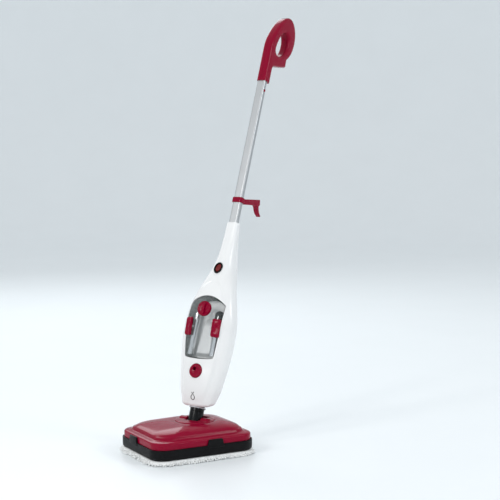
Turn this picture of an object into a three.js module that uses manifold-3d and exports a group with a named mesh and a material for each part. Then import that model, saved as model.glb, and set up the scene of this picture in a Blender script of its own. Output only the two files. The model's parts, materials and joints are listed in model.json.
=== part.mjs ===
// Steam mop: a floor head with a swivelling turret and a tilting neck, a steam casing with a clear
// water tank, an aluminium pole with a cord hook, and a D-shaped handle.
//
// Millimetres, +Z up. The origin is the middle of the cleaning pad's underside, on the floor, and
// the head faces -Y. Everything above the turret is turned and leaned by the two rest angles. In
// those groups +X is across the mop, +Y is its back and +Z runs up the pole, whose own axis is
// x = 0, y = 0. Heights above the turret are measured up the pole from the tilt pins.

import * as THREE from 'three';
import { mergeVertices } from 'three/addons/utils/BufferGeometryUtils.js';
import Module from 'manifold-3d';

// Pose at rest, in degrees
const BODY_TURN = 27.4;
const BODY_LEAN = 20.3;

// Fits
const GAP = 0.3;
const WALL = 2.4;
const CUT = 1;
const SCREW_HOLE = 1.9;
const SCREW_WELL = 3.5;
const SCREW_BOSS = 4.5;

// Floor head
const HEAD_HALF_WIDTH = 112;
const HEAD_HALF_LENGTH = 139;
const HEAD_CORNER = 38;
const HEAD_SCREW_INSET = 21;
const PAD_THICKNESS = 11.7;
const SOLE_BOTTOM = 13.5;
const SOLE_TOP = 17.5;
const LEDGE_TOP = 21;
const FRAME_TOP = 37.7;
const CLIP_TOP = 52;
const CLIP_HALF_WIDTH = 19;
const SIDE_CLIP_SETBACK = 22;
const FRONT_CLIP_OFFSET = -18;
const COVER_SIDE_INSET = 3.5;
const COVER_TOP = 78;

// Turret and neck
const TURRET_SETBACK = 22;
const TURRET_RADIUS = 49.6;
const TURRET_TOP = 80.5;
const PIN_HEIGHT = 74;
const PIN_RADIUS = 4;
const BOSS_RADIUS = 11;
const SLOT_HALF_WIDTH = 20.3;
const NECK_RADIUS = 18;
const NECK_BORE = 9;
const NECK_SET_BACK = 4;
const NECK_TOP = 58;

// Casing: height, half width, middle's distance back, half depth and squareness at each station
const CASING_STATIONS = [
  [36, 37, 4, 21.5, 2.5],
  [44, 45, 4, 25, 2.5],
  [56, 49, 3, 28, 2.4],
  [80, 56.5, 1, 31, 2.4],
  [111, 62.5, -1, 32, 2.4],
  [132, 66.5, -2, 32, 2.4],
  [158, 70, -4, 32.5, 2.5],
  [184, 73, -6, 34, 2.5],
  [223, 74, -8.5, 36, 2.5],
  [257, 71.5, -10.5, 36.5, 2.5],
  [288, 65, -12, 35.5, 2.5],
  [314, 58, -11.5, 33, 2.4],
  [340, 49.5, -8, 32, 2.4],
  [371, 38, -1, 31.5, 2.4],
  [392, 30.5, 3.5, 31, 2.5],
  [410, 26, 4.5, 27.5, 2.6],
  [431, 22, 5, 23, 3],
  [470, 19, 2.5, 15, 3.5],
  [519, 16, 0, 10.5, 4],
];
const CASING_SIDES = 24;
const CASING_INNER_SIDES = 16;
const CASING_FLOOR = 44;
const FOOT_SLOPE = 0.38;
const FOOT_FRONT = -10;
const FOOT_FADE = 76;
const SEAL_POCKET_RADIUS = 21;
const SEAL_POCKET_BOTTOM = 49.5;
const PARTING = 5;

// Water tank, seen from the front
const TANK_BOTTOM = 152;
const TANK_TOP = 312;
const TANK_HALF_WIDTH = 51.5;
const TANK_SHOULDER = 291;
const TANK_BACK = -8;
const TANK_WALL = 2.2;
const FILLER_HEIGHT = 277;
const CAP_RADIUS = 19;
const LATCH_HEIGHT = 231;
const LATCH_PLACE = 40;
const LATCH_SPRING = 9.8;
const LATCH_SPRING_DEPTH = -46.6;
const COLUMN_PLACE = 33;
const COLUMN_DEPTH = -24;

// Controls
const BUTTON_HEIGHT = 121;
const BUTTON_RADIUS = 18;
const BUTTON_FACE = -39;
const BUTTON_SEAT = -25;
const SWITCH_HEIGHT = 390;
const SWITCH_FACE = -28;
const SWITCH_SLOPE = -14.6;
const ROCKER_TILT = -7;

// Inside the casing
const GLAND_HEIGHT = 400;
const BOILER_HEIGHT = 230;
const VALVE_HEIGHT = 176;

// Pole and what is on it
const POLE_HALF_WIDTH = 12;
const POLE_HALF_DEPTH = 7;
const POLE_CORNER = 4;
const POLE_WALL = 1.4;
const POLE_BOTTOM = 442;
const POLE_TOP = 985;
const POLE_SCREW_HEIGHT = 470;
const HOOK_COLLAR_BOTTOM = 574;
const HOOK_COLLAR_TOP = 588;
const HOOK_HEIGHT = 579.5;
const HOOK_HUB_LENGTH = 12;
const HOOK_RISE = 17;
const HOOK_HALF_THICKNESS = 6;
const SNAP_HEIGHT = 888;
const SNAP_RADIUS = 3.6;
const HANDLE_BOTTOM = 915;
const HANDLE_HALF_THICKNESS = 14;

// ---- Solids -------------------------------------------------------------------------------

const wasm = await Module();
wasm.setup();

function solidOf(geometry) {
  const bare = geometry.clone();
  bare.deleteAttribute('normal');
  bare.deleteAttribute('uv');
  const merged = mergeVertices(bare, 1e-4);
  return new wasm.Manifold(new wasm.Mesh({
    numProp: 3,
    vertProperties: new Float32Array(merged.attributes.position.array),
    triVerts: new Uint32Array(merged.index.array),
  }));
}

function geometryOf(solid) {
  const mesh = solid.getMesh();
  const geometry = new THREE.BufferGeometry();
  const positions = new Float32Array(mesh.vertProperties);
  geometry.setAttribute('position', new THREE.BufferAttribute(positions, 3));
  geometry.setIndex(new THREE.BufferAttribute(new Uint32Array(mesh.triVerts), 1));
  geometry.computeVertexNormals();
  return geometry;
}

function join(first, ...others) {
  return geometryOf(others.reduce((sum, other) => sum.add(solidOf(other)), solidOf(first)));
}

function cut(first, ...others) {
  return geometryOf(others.reduce((rest, other) => rest.subtract(solidOf(other)), solidOf(first)));
}

function common(first, ...others) {
  return geometryOf(others.reduce((rest, other) => rest.intersect(solidOf(other)), solidOf(first)));
}

// A block from its lowest to its highest corner
function block(low, high) {
  const size = high.map((value, axis) => value - low[axis]);
  const geometry = new THREE.BoxGeometry(...size);
  return geometry.translate(...low.map((value, axis) => value + size[axis] / 2));
}

// Round bars along each axis: a centre in the other two axes, and where they start and end
function barZ(radius, x, y, from, to, sides = 20) {
  const geometry = new THREE.CylinderGeometry(radius, radius, to - from, sides);
  return geometry.rotateX(Math.PI / 2).translate(x, y, (from + to) / 2);
}

function barY(radius, x, z, from, to, sides = 20) {
  const geometry = new THREE.CylinderGeometry(radius, radius, to - from, sides);
  return geometry.translate(x, (from + to) / 2, z);
}

function barX(radius, y, z, from, to, sides = 20) {
  const geometry = new THREE.CylinderGeometry(radius, radius, to - from, sides);
  return geometry.rotateZ(-Math.PI / 2).translate((from + to) / 2, y, z);
}

// A turned piece about Z. The profile is radius and height, closed on itself or on the axis.
function turned(profile, sides = 24) {
  const points = profile.map(([radius, height]) => new THREE.Vector2(radius, height));
  return new THREE.LatheGeometry(points, sides).rotateX(Math.PI / 2);
}

// The same, about Y, with heights towards the front
function turnedForward(profile, sides = 24) {
  return turned(profile, sides).rotateX(Math.PI / 2);
}

// A straight tube about Z
function pipe(outer, inner, from, to, sides = 24) {
  return turned([[inner, from], [outer, from], [outer, to], [inner, to], [inner, from]], sides);
}

// A skin over rings that all have the same number of points, counter-clockwise seen from above
function loft(rings) {
  const count = rings[0].length;
  const positions = rings.flat().flatMap((point) => [point.x, point.y, point.z]);
  const index = [];
  for (let level = 0; level + 1 < rings.length; level += 1) {
    for (let side = 0; side < count; side += 1) {
      const next = (side + 1) % count;
      const low = level * count;
      const high = low + count;
      index.push(low + side, low + next, high + next);
      index.push(low + side, high + next, high + side);
    }
  }
  for (const [ring, first, flip] of [[rings[0], 0, true],
    [rings.at(-1), (rings.length - 1) * count, false]]) {
    const middle = ring.reduce((sum, point) => sum.add(point), new THREE.Vector3());
    middle.divideScalar(count);
    const centre = positions.length / 3;
    positions.push(middle.x, middle.y, middle.z);
    for (let side = 0; side < count; side += 1) {
      const next = (side + 1) % count;
      index.push(centre, first + (flip ? next : side), first + (flip ? side : next));
    }
  }
  const geometry = new THREE.BufferGeometry();
  geometry.setAttribute('position', new THREE.Float32BufferAttribute(positions, 3));
  geometry.setIndex(index);
  return geometry;
}

// A ring with straight sides and round corners
function cornerRing(halfX, halfY, radius, height, steps = 3) {
  const ring = [];
  const corners = [[1, 1, 0], [-1, 1, 1], [-1, -1, 2], [1, -1, 3]];
  for (const [signX, signY, quarter] of corners) {
    for (let step = 0; step <= steps; step += 1) {
      const angle = (quarter + step / steps) * Math.PI / 2;
      const x = signX * (halfX - radius) + radius * Math.cos(angle);
      const y = signY * (halfY - radius) + radius * Math.sin(angle);
      ring.push(new THREE.Vector3(x, y, height));
    }
  }
  return ring;
}

// A ring of the head's own outline, drawn in by an inset
function headRing(inset, height, radius = HEAD_CORNER - inset) {
  return cornerRing(HEAD_HALF_WIDTH - inset, HEAD_HALF_LENGTH - inset, radius, height);
}

// A flat piece: a shape in X and Y, between two heights
function slab(shape, from, to, bevel = 0, detail = 2) {
  const geometry = new THREE.ExtrudeGeometry(shape, {
    depth: to - from - 2 * bevel,
    bevelEnabled: bevel > 0,
    bevelThickness: bevel,
    bevelSize: bevel,
    bevelOffset: -bevel,
    bevelSegments: 1,
    curveSegments: detail,
    steps: 1,
  });
  return geometry.translate(0, 0, from + bevel);
}

// A shape in X and Z, from a back face at y = from to a front face at y = to, with to < from
function frontSlab(shape, from, to, bevel = 0, detail = 2) {
  return slab(shape, -from, -to, bevel, detail).rotateX(Math.PI / 2);
}

// A shape in Y and Z, across the mop from x = from to x = to
const ACROSS = new THREE.Matrix4().set(0, 0, 1, 0, 1, 0, 0, 0, 0, 1, 0, 0, 0, 0, 0, 1);
function sideSlab(shape, from, to, bevel = 0, detail = 5) {
  return slab(shape, from, to, bevel, detail).applyMatrix4(ACROSS);
}

function roundedShape(halfX, halfY, radius, x = 0, y = 0) {
  const shape = new THREE.Shape();
  shape.moveTo(x - halfX + radius, y - halfY);
  shape.lineTo(x + halfX - radius, y - halfY);
  shape.absarc(x + halfX - radius, y - halfY + radius, radius, -Math.PI / 2, 0);
  shape.lineTo(x + halfX, y + halfY - radius);
  shape.absarc(x + halfX - radius, y + halfY - radius, radius, 0, Math.PI / 2);
  shape.lineTo(x - halfX + radius, y + halfY);
  shape.absarc(x - halfX + radius, y + halfY - radius, radius, Math.PI / 2, Math.PI);
  shape.lineTo(x - halfX, y - halfY + radius);
  shape.absarc(x - halfX + radius, y - halfY + radius, radius, Math.PI, 1.5 * Math.PI);
  return shape;
}

function ovalShape(halfX, halfY, sides = 20) {
  return new THREE.Shape(Array.from({ length: sides }, (_, side) => {
    const angle = side / sides * 2 * Math.PI;
    return new THREE.Vector2(halfX * Math.cos(angle), halfY * Math.sin(angle));
  }));
}

// A closed outline moved inwards, for the inside of a thin moulding
function insetShape(shape, inset, divisions = 5) {
  const points = shape.getPoints(divisions);
  if (points[0].distanceTo(points.at(-1)) < 1e-6) points.pop();
  const turn = THREE.ShapeUtils.isClockWise(points) ? -1 : 1;
  const moved = points.map((point, index) => {
    const before = points.at(index - 1);
    const after = points[(index + 1) % points.length];
    const first = point.clone().sub(before).normalize();
    const second = after.clone().sub(point).normalize();
    const normal = new THREE.Vector2(-(first.y + second.y), first.x + second.x).normalize();
    const stretch = Math.max(0.5, normal.dot(new THREE.Vector2(-first.y, first.x)));
    return point.clone().addScaledVector(normal, turn * inset / stretch);
  });
  return new THREE.Shape(moved);
}

// A hose: a round section swept along points
function hose(radius, points, steps = 16) {
  const route = new THREE.CatmullRomCurve3(points.map((point) => new THREE.Vector3(...point)));
  const section = ovalShape(radius, radius, 8);
  return new THREE.ExtrudeGeometry(section, { steps, extrudePath: route, bevelEnabled: false });
}

// A compression spring's outer shape: a ribbed sleeve about Z, with a bore
function springSleeve(outer, inner, from, to, turns) {
  const profile = [[inner, from]];
  for (let turn = 0; turn < turns; turn += 1) {
    const low = from + (to - from) * turn / turns;
    profile.push([outer, low + 0.05], [outer, low + (to - from) * 0.55 / turns]);
    profile.push([outer - 0.5, low + (to - from) * 0.78 / turns]);
  }
  profile.push([inner, to], [inner, from]);
  return turned(profile, 8);
}

// A pan-head screw along Z: its point at the bottom, its head's top at zero
function screw(length, shank = 1.6, head = 3.1, headHeight = 2.2) {
  return turned([[0, -length], [shank, -length + 2], [shank, -headHeight],
    [head, -headHeight], [head, -0.7], [head - 0.8, 0], [0, 0]], 8);
}

// ---- Materials ------------------------------------------------------------------------------

function finish(color, roughness, metalness = 0, opacity = 1) {
  return new THREE.MeshStandardMaterial({
    color, roughness, metalness, opacity, transparent: opacity < 1,
  });
}

const CRIMSON = finish(0x971a2f, 0.3);
const WHITE = finish(0xeeeef0, 0.3);
const BLACK = finish(0x1a1a1c, 0.45);
const PALE_GREY = finish(0xc9cacd, 0.45);
const RUBBER = finish(0x202022, 0.85);
const CLEAR = finish(0xa9b0b5, 0.1, 0, 0.4);
const ALUMINIUM = finish(0xc3c5c8, 0.35, 1);
const STEEL = finish(0xb8babd, 0.3, 1);
const CAST = finish(0x9a9c9f, 0.6, 0.9);
const SILVER = finish(0xd5d7da, 0.15, 1);
const SILICONE = finish(0xe3dfd6, 0.6);
const MICROFIBRE = finish(0xf3f3f1, 0.95);
const HOOK_TAPE = finish(0xd9d9d6, 0.9);
const BOARD_GREEN = finish(0x2f6b3f, 0.5);
const LIT_RED = finish(0x8c1c1c, 0.25);

// ---- Scene graph ------------------------------------------------------------------------------

const mop = new THREE.Group();
const head = new THREE.Group();
const turretFrame = new THREE.Group();
const tiltFrame = new THREE.Group();
const upper = new THREE.Group();
mop.add(head, turretFrame);
turretFrame.add(tiltFrame);
tiltFrame.add(upper);
turretFrame.position.set(0, TURRET_SETBACK, 0);
turretFrame.rotation.z = THREE.MathUtils.degToRad(BODY_TURN);
tiltFrame.position.set(0, 0, PIN_HEIGHT);
tiltFrame.rotation.x = -THREE.MathUtils.degToRad(BODY_LEAN);
upper.position.set(0, -NECK_SET_BACK, 0);

function piece(name, geometry, material, parent) {
  const mesh = new THREE.Mesh(geometry, material);
  mesh.name = name;
  parent.add(mesh);
  return mesh;
}

// ---- Floor head ---------------------------------------------------------------------------------

const HEAD_SCREW_PLACES = [[1, 1], [-1, 1], [-1, -1], [1, -1]].map(([signX, signY]) => [
  signX * (HEAD_HALF_WIDTH - HEAD_SCREW_INSET), signY * (HEAD_HALF_LENGTH - HEAD_SCREW_INSET)]);

function makeCleaningPad() {
  return loft([headRing(4, 0, 34), headRing(-1.5, 3, 39), headRing(-2, 8, 40),
    headRing(1, PAD_THICKNESS, 37)]);
}

function makeSolePlate() {
  const plate = slab(roundedShape(HEAD_HALF_WIDTH - 8.6, HEAD_HALF_LENGTH - 8.6, 33),
    SOLE_BOTTOM, SOLE_TOP);
  const holes = HEAD_SCREW_PLACES.map(([x, y]) => barZ(4, x, y, SOLE_BOTTOM - CUT, SOLE_TOP + CUT, 8));
  for (const y of [-60, -20, 20, 60]) {
    for (const x of [-45, 45]) {
      holes.push(barZ(2.5, x, y, SOLE_BOTTOM - CUT, SOLE_TOP + CUT, 8));
    }
  }
  return cut(plate, ...holes);
}

function makeBaseFrame() {
  const outside = loft([headRing(3, PAD_THICKNESS + 0.6), headRing(0.6, 17), headRing(0, 20),
    headRing(0, FRAME_TOP)]);
  const clipInner = HEAD_HALF_WIDTH - COVER_SIDE_INSET + GAP;
  const clipInnerEnd = HEAD_HALF_LENGTH - COVER_SIDE_INSET + GAP;
  const clips = [-1, 1].flatMap((side) => {
    const [nearX, farX] = [side * clipInner, side * HEAD_HALF_WIDTH].sort((a, b) => a - b);
    const [nearY, farY] = [side * clipInnerEnd, side * HEAD_HALF_LENGTH].sort((a, b) => a - b);
    return [
      block([nearX, SIDE_CLIP_SETBACK - CLIP_HALF_WIDTH, FRAME_TOP - 4],
        [farX, SIDE_CLIP_SETBACK + CLIP_HALF_WIDTH, CLIP_TOP]),
      block([FRONT_CLIP_OFFSET - CLIP_HALF_WIDTH, nearY, FRAME_TOP - 4],
        [FRONT_CLIP_OFFSET + CLIP_HALF_WIDTH, farY, CLIP_TOP]),
    ];
  });
  const upperRoom = loft([headRing(3, LEDGE_TOP, 35), headRing(3, FRAME_TOP + CUT, 35)]);
  const lowerRoom = loft([headRing(8, 0, 30), headRing(8, SOLE_TOP + GAP, 30)]);
  const middle = loft([headRing(32, 0, 16), headRing(32, FRAME_TOP, 16)]);
  const screwHoles = HEAD_SCREW_PLACES.map(([x, y]) => barZ(SCREW_HOLE, x, y, 0, LEDGE_TOP + CUT, 8));
  return cut(join(outside, ...clips), upperRoom, lowerRoom, middle, ...screwHoles);
}

function makeHeadCover() {
  const side = COVER_SIDE_INSET;
  const outside = loft([headRing(side, FRAME_TOP + GAP), headRing(side, 50), headRing(side + 1.2, 53),
    headRing(side + 4, 54.4), headRing(15.5, 56, 33), headRing(18.5, 57.6, 34), headRing(21, 63, 35),
    headRing(26, 69.2, 38), headRing(37, 73.4, 44), headRing(55, 76.2, 48), headRing(75, 77.7, 36),
    headRing(90, COVER_TOP, 21)]);
  const inside = loft([headRing(side + WALL, FRAME_TOP - CUT, 32), headRing(side + WALL, 49, 32),
    headRing(side + 4, 51.4, 30), headRing(16.5, 53.4, 31), headRing(21, 55.4, 31.5),
    headRing(23.6, 61.8, 33), headRing(28.4, 66.9, 36), headRing(39, 70.9, 42), headRing(56, 73.7, 47),
    headRing(76, 75.2, 35), headRing(90, COVER_TOP - WALL, 21)]);
  const bosses = HEAD_SCREW_PLACES.map(([x, y]) => barZ(SCREW_BOSS, x, y, LEDGE_TOP + GAP, 55, 8));
  const screwHoles = HEAD_SCREW_PLACES.map(([x, y]) => barZ(SCREW_HOLE, x, y, 0, 40, 8));
  const turretHole = barZ(TURRET_RADIUS + 0.6, 0, TURRET_SETBACK, 40, COVER_TOP + 5, 36);
  return cut(join(cut(outside, inside), ...bosses), turretHole, ...screwHoles);
}

function makeSteamDuct() {
  const chamber = slab(roundedShape(36, 44, 8, 0, TURRET_SETBACK), SOLE_TOP + GAP, 25, 1.5);
  return join(chamber, barZ(9, 0, TURRET_SETBACK, 22, 34, 20));
}

function makeSteamBellows() {
  const profile = [[6, 34.3]];
  for (let fold = 0; fold < 4; fold += 1) {
    profile.push([10, 34.3 + 4 * fold], [12.5, 36.3 + 4 * fold]);
  }
  profile.push([10, 50.3], [6, 50.3], [6, 34.3]);
  return turned(profile, 20).translate(0, TURRET_SETBACK, 0);
}

piece('cleaning_pad', makeCleaningPad(), MICROFIBRE, head);
for (const [name, y] of [['hook_tape_front', -78], ['hook_tape_rear', 78]]) {
  piece(name, block([-80, y - 14, PAD_THICKNESS + GAP], [80, y + 14, SOLE_BOTTOM - GAP]),
    HOOK_TAPE, head);
}
piece('sole_plate', makeSolePlate(), BLACK, head);
piece('base_frame', makeBaseFrame(), BLACK, head);
piece('head_cover', makeHeadCover(), CRIMSON, head);
piece('steam_duct', makeSteamDuct(), PALE_GREY, head);
piece('steam_bellows', makeSteamBellows(), SILICONE, head);
HEAD_SCREW_PLACES.forEach(([x, y], index) => {
  const headScrew = screw(20).rotateX(Math.PI).translate(x, y, SOLE_TOP + GAP - 2.5);
  piece(`head_screw_${index + 1}`, headScrew, STEEL, head);
});

// ---- Turret and neck ------------------------------------------------------------------------------

function makeTurret() {
  const collar = TURRET_RADIUS - 5;
  const dish = turned([[0, 76.5], [collar, 76.5], [collar, 63], [TURRET_RADIUS, 63],
    [TURRET_RADIUS, 78.6], [TURRET_RADIUS - 2.5, TURRET_TOP - 0.4], [0, TURRET_TOP]], 36);
  const bosses = [1, -1].map((side) => barX(BOSS_RADIUS, 0, PIN_HEIGHT,
    Math.min(side * (SLOT_HALF_WIDTH + GAP), side * 43),
    Math.max(side * (SLOT_HALF_WIDTH + GAP), side * 43), 24));
  const slot = block([-SLOT_HALF_WIDTH, -20.5, 60], [SLOT_HALF_WIDTH, 40, 95]);
  const pinHole = barX(PIN_RADIUS + GAP, 0, PIN_HEIGHT, -41.5, 41.5, 16);
  return cut(join(dish, ...bosses), slot, pinHole);
}

function makeNeckTube() {
  const profile = [[NECK_BORE, -13]];
  for (const angle of [-46, -30, -15]) {
    const radians = THREE.MathUtils.degToRad(angle);
    profile.push([NECK_RADIUS * Math.cos(radians), NECK_RADIUS * Math.sin(radians)]);
  }
  profile.push([NECK_RADIUS, 0], [NECK_RADIUS, NECK_TOP], [NECK_BORE, NECK_TOP], [NECK_BORE, -13]);
  const pinHole = barX(PIN_RADIUS + GAP, 0, 0, -30, 30, 16);
  return cut(turned(profile, 28), pinHole).translate(0, NECK_SET_BACK, 0);
}

piece('turret', makeTurret(), CRIMSON, turretFrame);
piece('turret_ring', pipe(56, TURRET_RADIUS + GAP, 66, 69, 40).translate(0, TURRET_SETBACK, 0),
  PALE_GREY, head);
for (const [name, from, to] of [['tilt_pin_left', -41, -12.5], ['tilt_pin_right', 12.5, 41]]) {
  piece(name, barX(PIN_RADIUS, 0, PIN_HEIGHT, from, to, 16), STEEL, turretFrame);
}
piece('neck_tube', makeNeckTube(), BLACK, upper);
piece('neck_hose', pipe(6.5, 4, -12, NECK_TOP + 8, 12).translate(0, NECK_SET_BACK, 0), SILICONE, upper);
piece('neck_seal', pipe(20.4, NECK_RADIUS + GAP, 50, 53, 28).translate(0, NECK_SET_BACK, 0),
  RUBBER, upper);
piece('neck_collar', pipe(20.8, NECK_RADIUS + GAP, 32.4, 35.7, 28).translate(0, NECK_SET_BACK, 0),
  PALE_GREY, upper);

// ---- Casing -----------------------------------------------------------------------------------------

// The casing's station at any height, by straight steps between the listed ones
function stationAt(height) {
  const above = CASING_STATIONS.findIndex(([level]) => level >= height);
  const upperStation = CASING_STATIONS[above];
  if (above === 0) return upperStation;
  const lowerStation = CASING_STATIONS[above - 1];
  const share = (height - lowerStation[0]) / (upperStation[0] - lowerStation[0]);
  return lowerStation.map((value, column) => value + share * (upperStation[column] - value));
}

// The foot is cut away towards the back, so that the casing clears the head as it leans
function footLift(y, height) {
  const fade = Math.max(0, (FOOT_FADE - height) / (FOOT_FADE - CASING_STATIONS[0][0]));
  return FOOT_SLOPE * Math.max(0, y - FOOT_FRONT) * fade;
}

function casingRing([height, halfWidth, middle, halfDepth, squareness], grow, sides) {
  const ring = [];
  for (let side = 0; side < sides; side += 1) {
    const angle = side / sides * 2 * Math.PI;
    const x = Math.sign(Math.cos(angle)) * Math.abs(Math.cos(angle)) ** (2 / squareness);
    const y = Math.sign(Math.sin(angle)) * Math.abs(Math.sin(angle)) ** (2 / squareness);
    const back = middle + (halfDepth + grow) * y;
    ring.push(new THREE.Vector3((halfWidth + grow) * x, back, height + footLift(back, height)));
  }
  return ring;
}

function casingForm(grow, from = CASING_STATIONS[0][0], sides = CASING_SIDES) {
  const above = CASING_STATIONS.filter(([height]) => height > from);
  return loft([stationAt(from), ...above].map((station) => casingRing(station, grow, sides)));
}

function tankShape() {
  const shape = new THREE.Shape();
  const right = [[42, TANK_BOTTOM + 5], [47.5, 200], [TANK_HALF_WIDTH - 1.5, 232],
    [TANK_HALF_WIDTH, 262]];
  shape.moveTo(0, TANK_BOTTOM);
  right.forEach(([x, z]) => shape.lineTo(x, z));
  shape.lineTo(TANK_HALF_WIDTH, TANK_SHOULDER);
  shape.quadraticCurveTo(28, TANK_TOP, 0, TANK_TOP);
  shape.quadraticCurveTo(-28, TANK_TOP, -TANK_HALF_WIDTH, TANK_SHOULDER);
  right.reverse().forEach(([x, z]) => shape.lineTo(-x, z));
  return shape;
}

const CASING_SCREW_PLACES = [[-45, 92], [45, 92], [-60, 250], [60, 250]];

function makeCasingShell(isFront) {
  const room = casingForm(-WALL, CASING_FLOOR, CASING_INNER_SIDES);
  const pastTop = casingRing(CASING_STATIONS.at(-1), -WALL, CASING_INNER_SIDES);
  const mouth = loft([pastTop.map((point) => point.clone().setZ(515)),
    pastTop.map((point) => point.clone().setZ(525))]);
  const neckHole = barZ(NECK_RADIUS + 0.4, 0, NECK_SET_BACK, 30, 60, 28);
  const sealPocket = barZ(SEAL_POCKET_RADIUS, 0, NECK_SET_BACK, SEAL_POCKET_BOTTOM, 64, 28);
  const hollow = join(room, mouth, neckHole, sealPocket);
  const bosses = CASING_SCREW_PLACES.map(([x, z]) => common(barY(4.6, x, z, -60, 60, 8),
    casingForm(-0.5)));
  const whole = casingForm(0);
  const half = isFront ? block([-100, -100, 0], [100, PARTING - GAP / 2, 600])
    : block([-100, PARTING + GAP / 2, 0], [100, 100, 600]);
  return common(join(cut(whole, hollow), ...bosses), half);
}

function makeFrontShell() {
  const window = frontSlab(insetShape(tankShape(), -GAP - 0.2), 3, -80);
  const buttonHole = barY(BUTTON_RADIUS + GAP, 0, BUTTON_HEIGHT, -60, -5, 32);
  const switchHole = frontSlab(ovalShape(10.2, 14.2), 12, -12).rotateX(
    THREE.MathUtils.degToRad(SWITCH_SLOPE)).translate(0, SWITCH_FACE, SWITCH_HEIGHT);
  const screwHoles = CASING_SCREW_PLACES.map(([x, z]) => barY(SCREW_HOLE, x, z, -10, 10, 8));
  return cut(makeCasingShell(true), window, buttonHole, switchHole, ...screwHoles);
}

function makeRearShell() {
  const screwHoles = CASING_SCREW_PLACES.flatMap(([x, z]) => [barY(SCREW_HOLE, x, z, 0, 60, 8),
    barY(SCREW_WELL, x, z, 11, 60, 8)]);
  const glandHole = barY(5.9, 0, GLAND_HEIGHT, 20, 60, 16);
  const poleScrewHole = barY(SCREW_HOLE, 0, POLE_SCREW_HEIGHT, 0, 40, 12);
  return cut(makeCasingShell(false), glandHole, poleScrewHole, ...screwHoles);
}

piece('front_shell', makeFrontShell(), WHITE, upper);
piece('rear_shell', makeRearShell(), WHITE, upper);
CASING_SCREW_PLACES.forEach(([x, z], index) => {
  piece(`casing_screw_${index + 1}`, screw(20).rotateX(-Math.PI / 2).translate(x, 13.5, z), STEEL, upper);
});

// ---- Water tank, its filler and its latches ------------------------------------------------------

function makeWaterTank() {
  const outside = common(frontSlab(tankShape(), TANK_BACK, -80), casingForm(0));
  const inside = common(frontSlab(insetShape(tankShape(), TANK_WALL), TANK_BACK - TANK_WALL, -80),
    casingForm(-TANK_WALL));
  const fillerNeck = barY(15.4, 0, FILLER_HEIGHT, -52.2, -44);
  const fillerBore = barY(13, 0, FILLER_HEIGHT, -60, -38);
  const springStops = [-25, 25].map((x) => block([x - 1.2, -50, LATCH_HEIGHT - 3.5],
    [x + 1.2, -43.5, LATCH_HEIGHT + 3.5]));
  return cut(join(cut(outside, inside), fillerNeck, ...springStops), fillerBore);
}

function makeFillerCap() {
  const skirt = turnedForward([[0, 52.6], [15.8, 52.6], [15.8, 49], [CAP_RADIUS, 49],
    [CAP_RADIUS, 55], [CAP_RADIUS - 1.5, 56.4], [0, 56.4]]);
  const grip = frontSlab(roundedShape(3.4, 13.5, 3.2), -55.5, -61, 1);
  return join(skirt, grip).translate(0, 0, FILLER_HEIGHT);
}

function makeFillerSeal() {
  return turnedForward([[9.5, 44.5], [12.6, 44.5], [12.6, 52.3], [0, 52.3], [0, 50.3], [9.5, 50.3],
    [9.5, 44.5]], 24).translate(0, 0, FILLER_HEIGHT);
}

// A latch follows the casing's curve, a little proud of the tank
function makeLatch(side) {
  const outline = frontSlab(roundedShape(11, 23, 3, side * LATCH_PLACE, LATCH_HEIGHT), -20, -70);
  const ridge = frontSlab(roundedShape(2.2, 20, 2, side * (LATCH_PLACE - 7), LATCH_HEIGHT), -20, -70);
  const blade = cut(common(outline, casingForm(8)), casingForm(1.2));
  const ridgeBlade = cut(common(ridge, casingForm(10.5)), casingForm(4));
  const pocket = barX(2.9, LATCH_SPRING_DEPTH, LATCH_HEIGHT, side > 0 ? 20 : -39, side > 0 ? 39 : -20, 12);
  return cut(join(blade, ridgeBlade), pocket);
}

const tank = new THREE.Group();
upper.add(tank);
piece('water_tank', makeWaterTank(), CLEAR, tank);
piece('filler_seal', makeFillerSeal(), RUBBER, tank);
piece('filler_cap', makeFillerCap(), CRIMSON, tank);
for (const [word, side] of [['left', -1], ['right', 1]]) {
  piece(`latch_${word}`, makeLatch(side), CRIMSON, tank);
  piece(`guide_column_${word}`, barZ(8, side * COLUMN_PLACE, COLUMN_DEPTH, 166, 278, 14), SILVER, tank);
  const spring = springSleeve(2.3, 1.3, 0, LATCH_SPRING, 4).rotateY(side * Math.PI / 2);
  spring.translate(side * 26.5, LATCH_SPRING_DEPTH, LATCH_HEIGHT);
  piece(`latch_spring_${word}`, spring, STEEL, tank);
}

// ---- Controls ---------------------------------------------------------------------------------------

const button = turnedForward([[0, 14.5], [5.5, 14.5], [5.5, -BUTTON_SEAT], [BUTTON_RADIUS, -BUTTON_SEAT],
  [BUTTON_RADIUS, -BUTTON_FACE - 1.1], [BUTTON_RADIUS - 1.2, -BUTTON_FACE], [13.5, -BUTTON_FACE],
  [11, -BUTTON_FACE - 2.1], [0, -BUTTON_FACE - 2.9]]);
piece('release_button', button.translate(0, 0, BUTTON_HEIGHT), CRIMSON, upper);
piece('release_spring', springSleeve(8, 6, 2.4, 21.2, 5).rotateX(Math.PI / 2)
  .translate(0, 0, BUTTON_HEIGHT), STEEL, upper);

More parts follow.
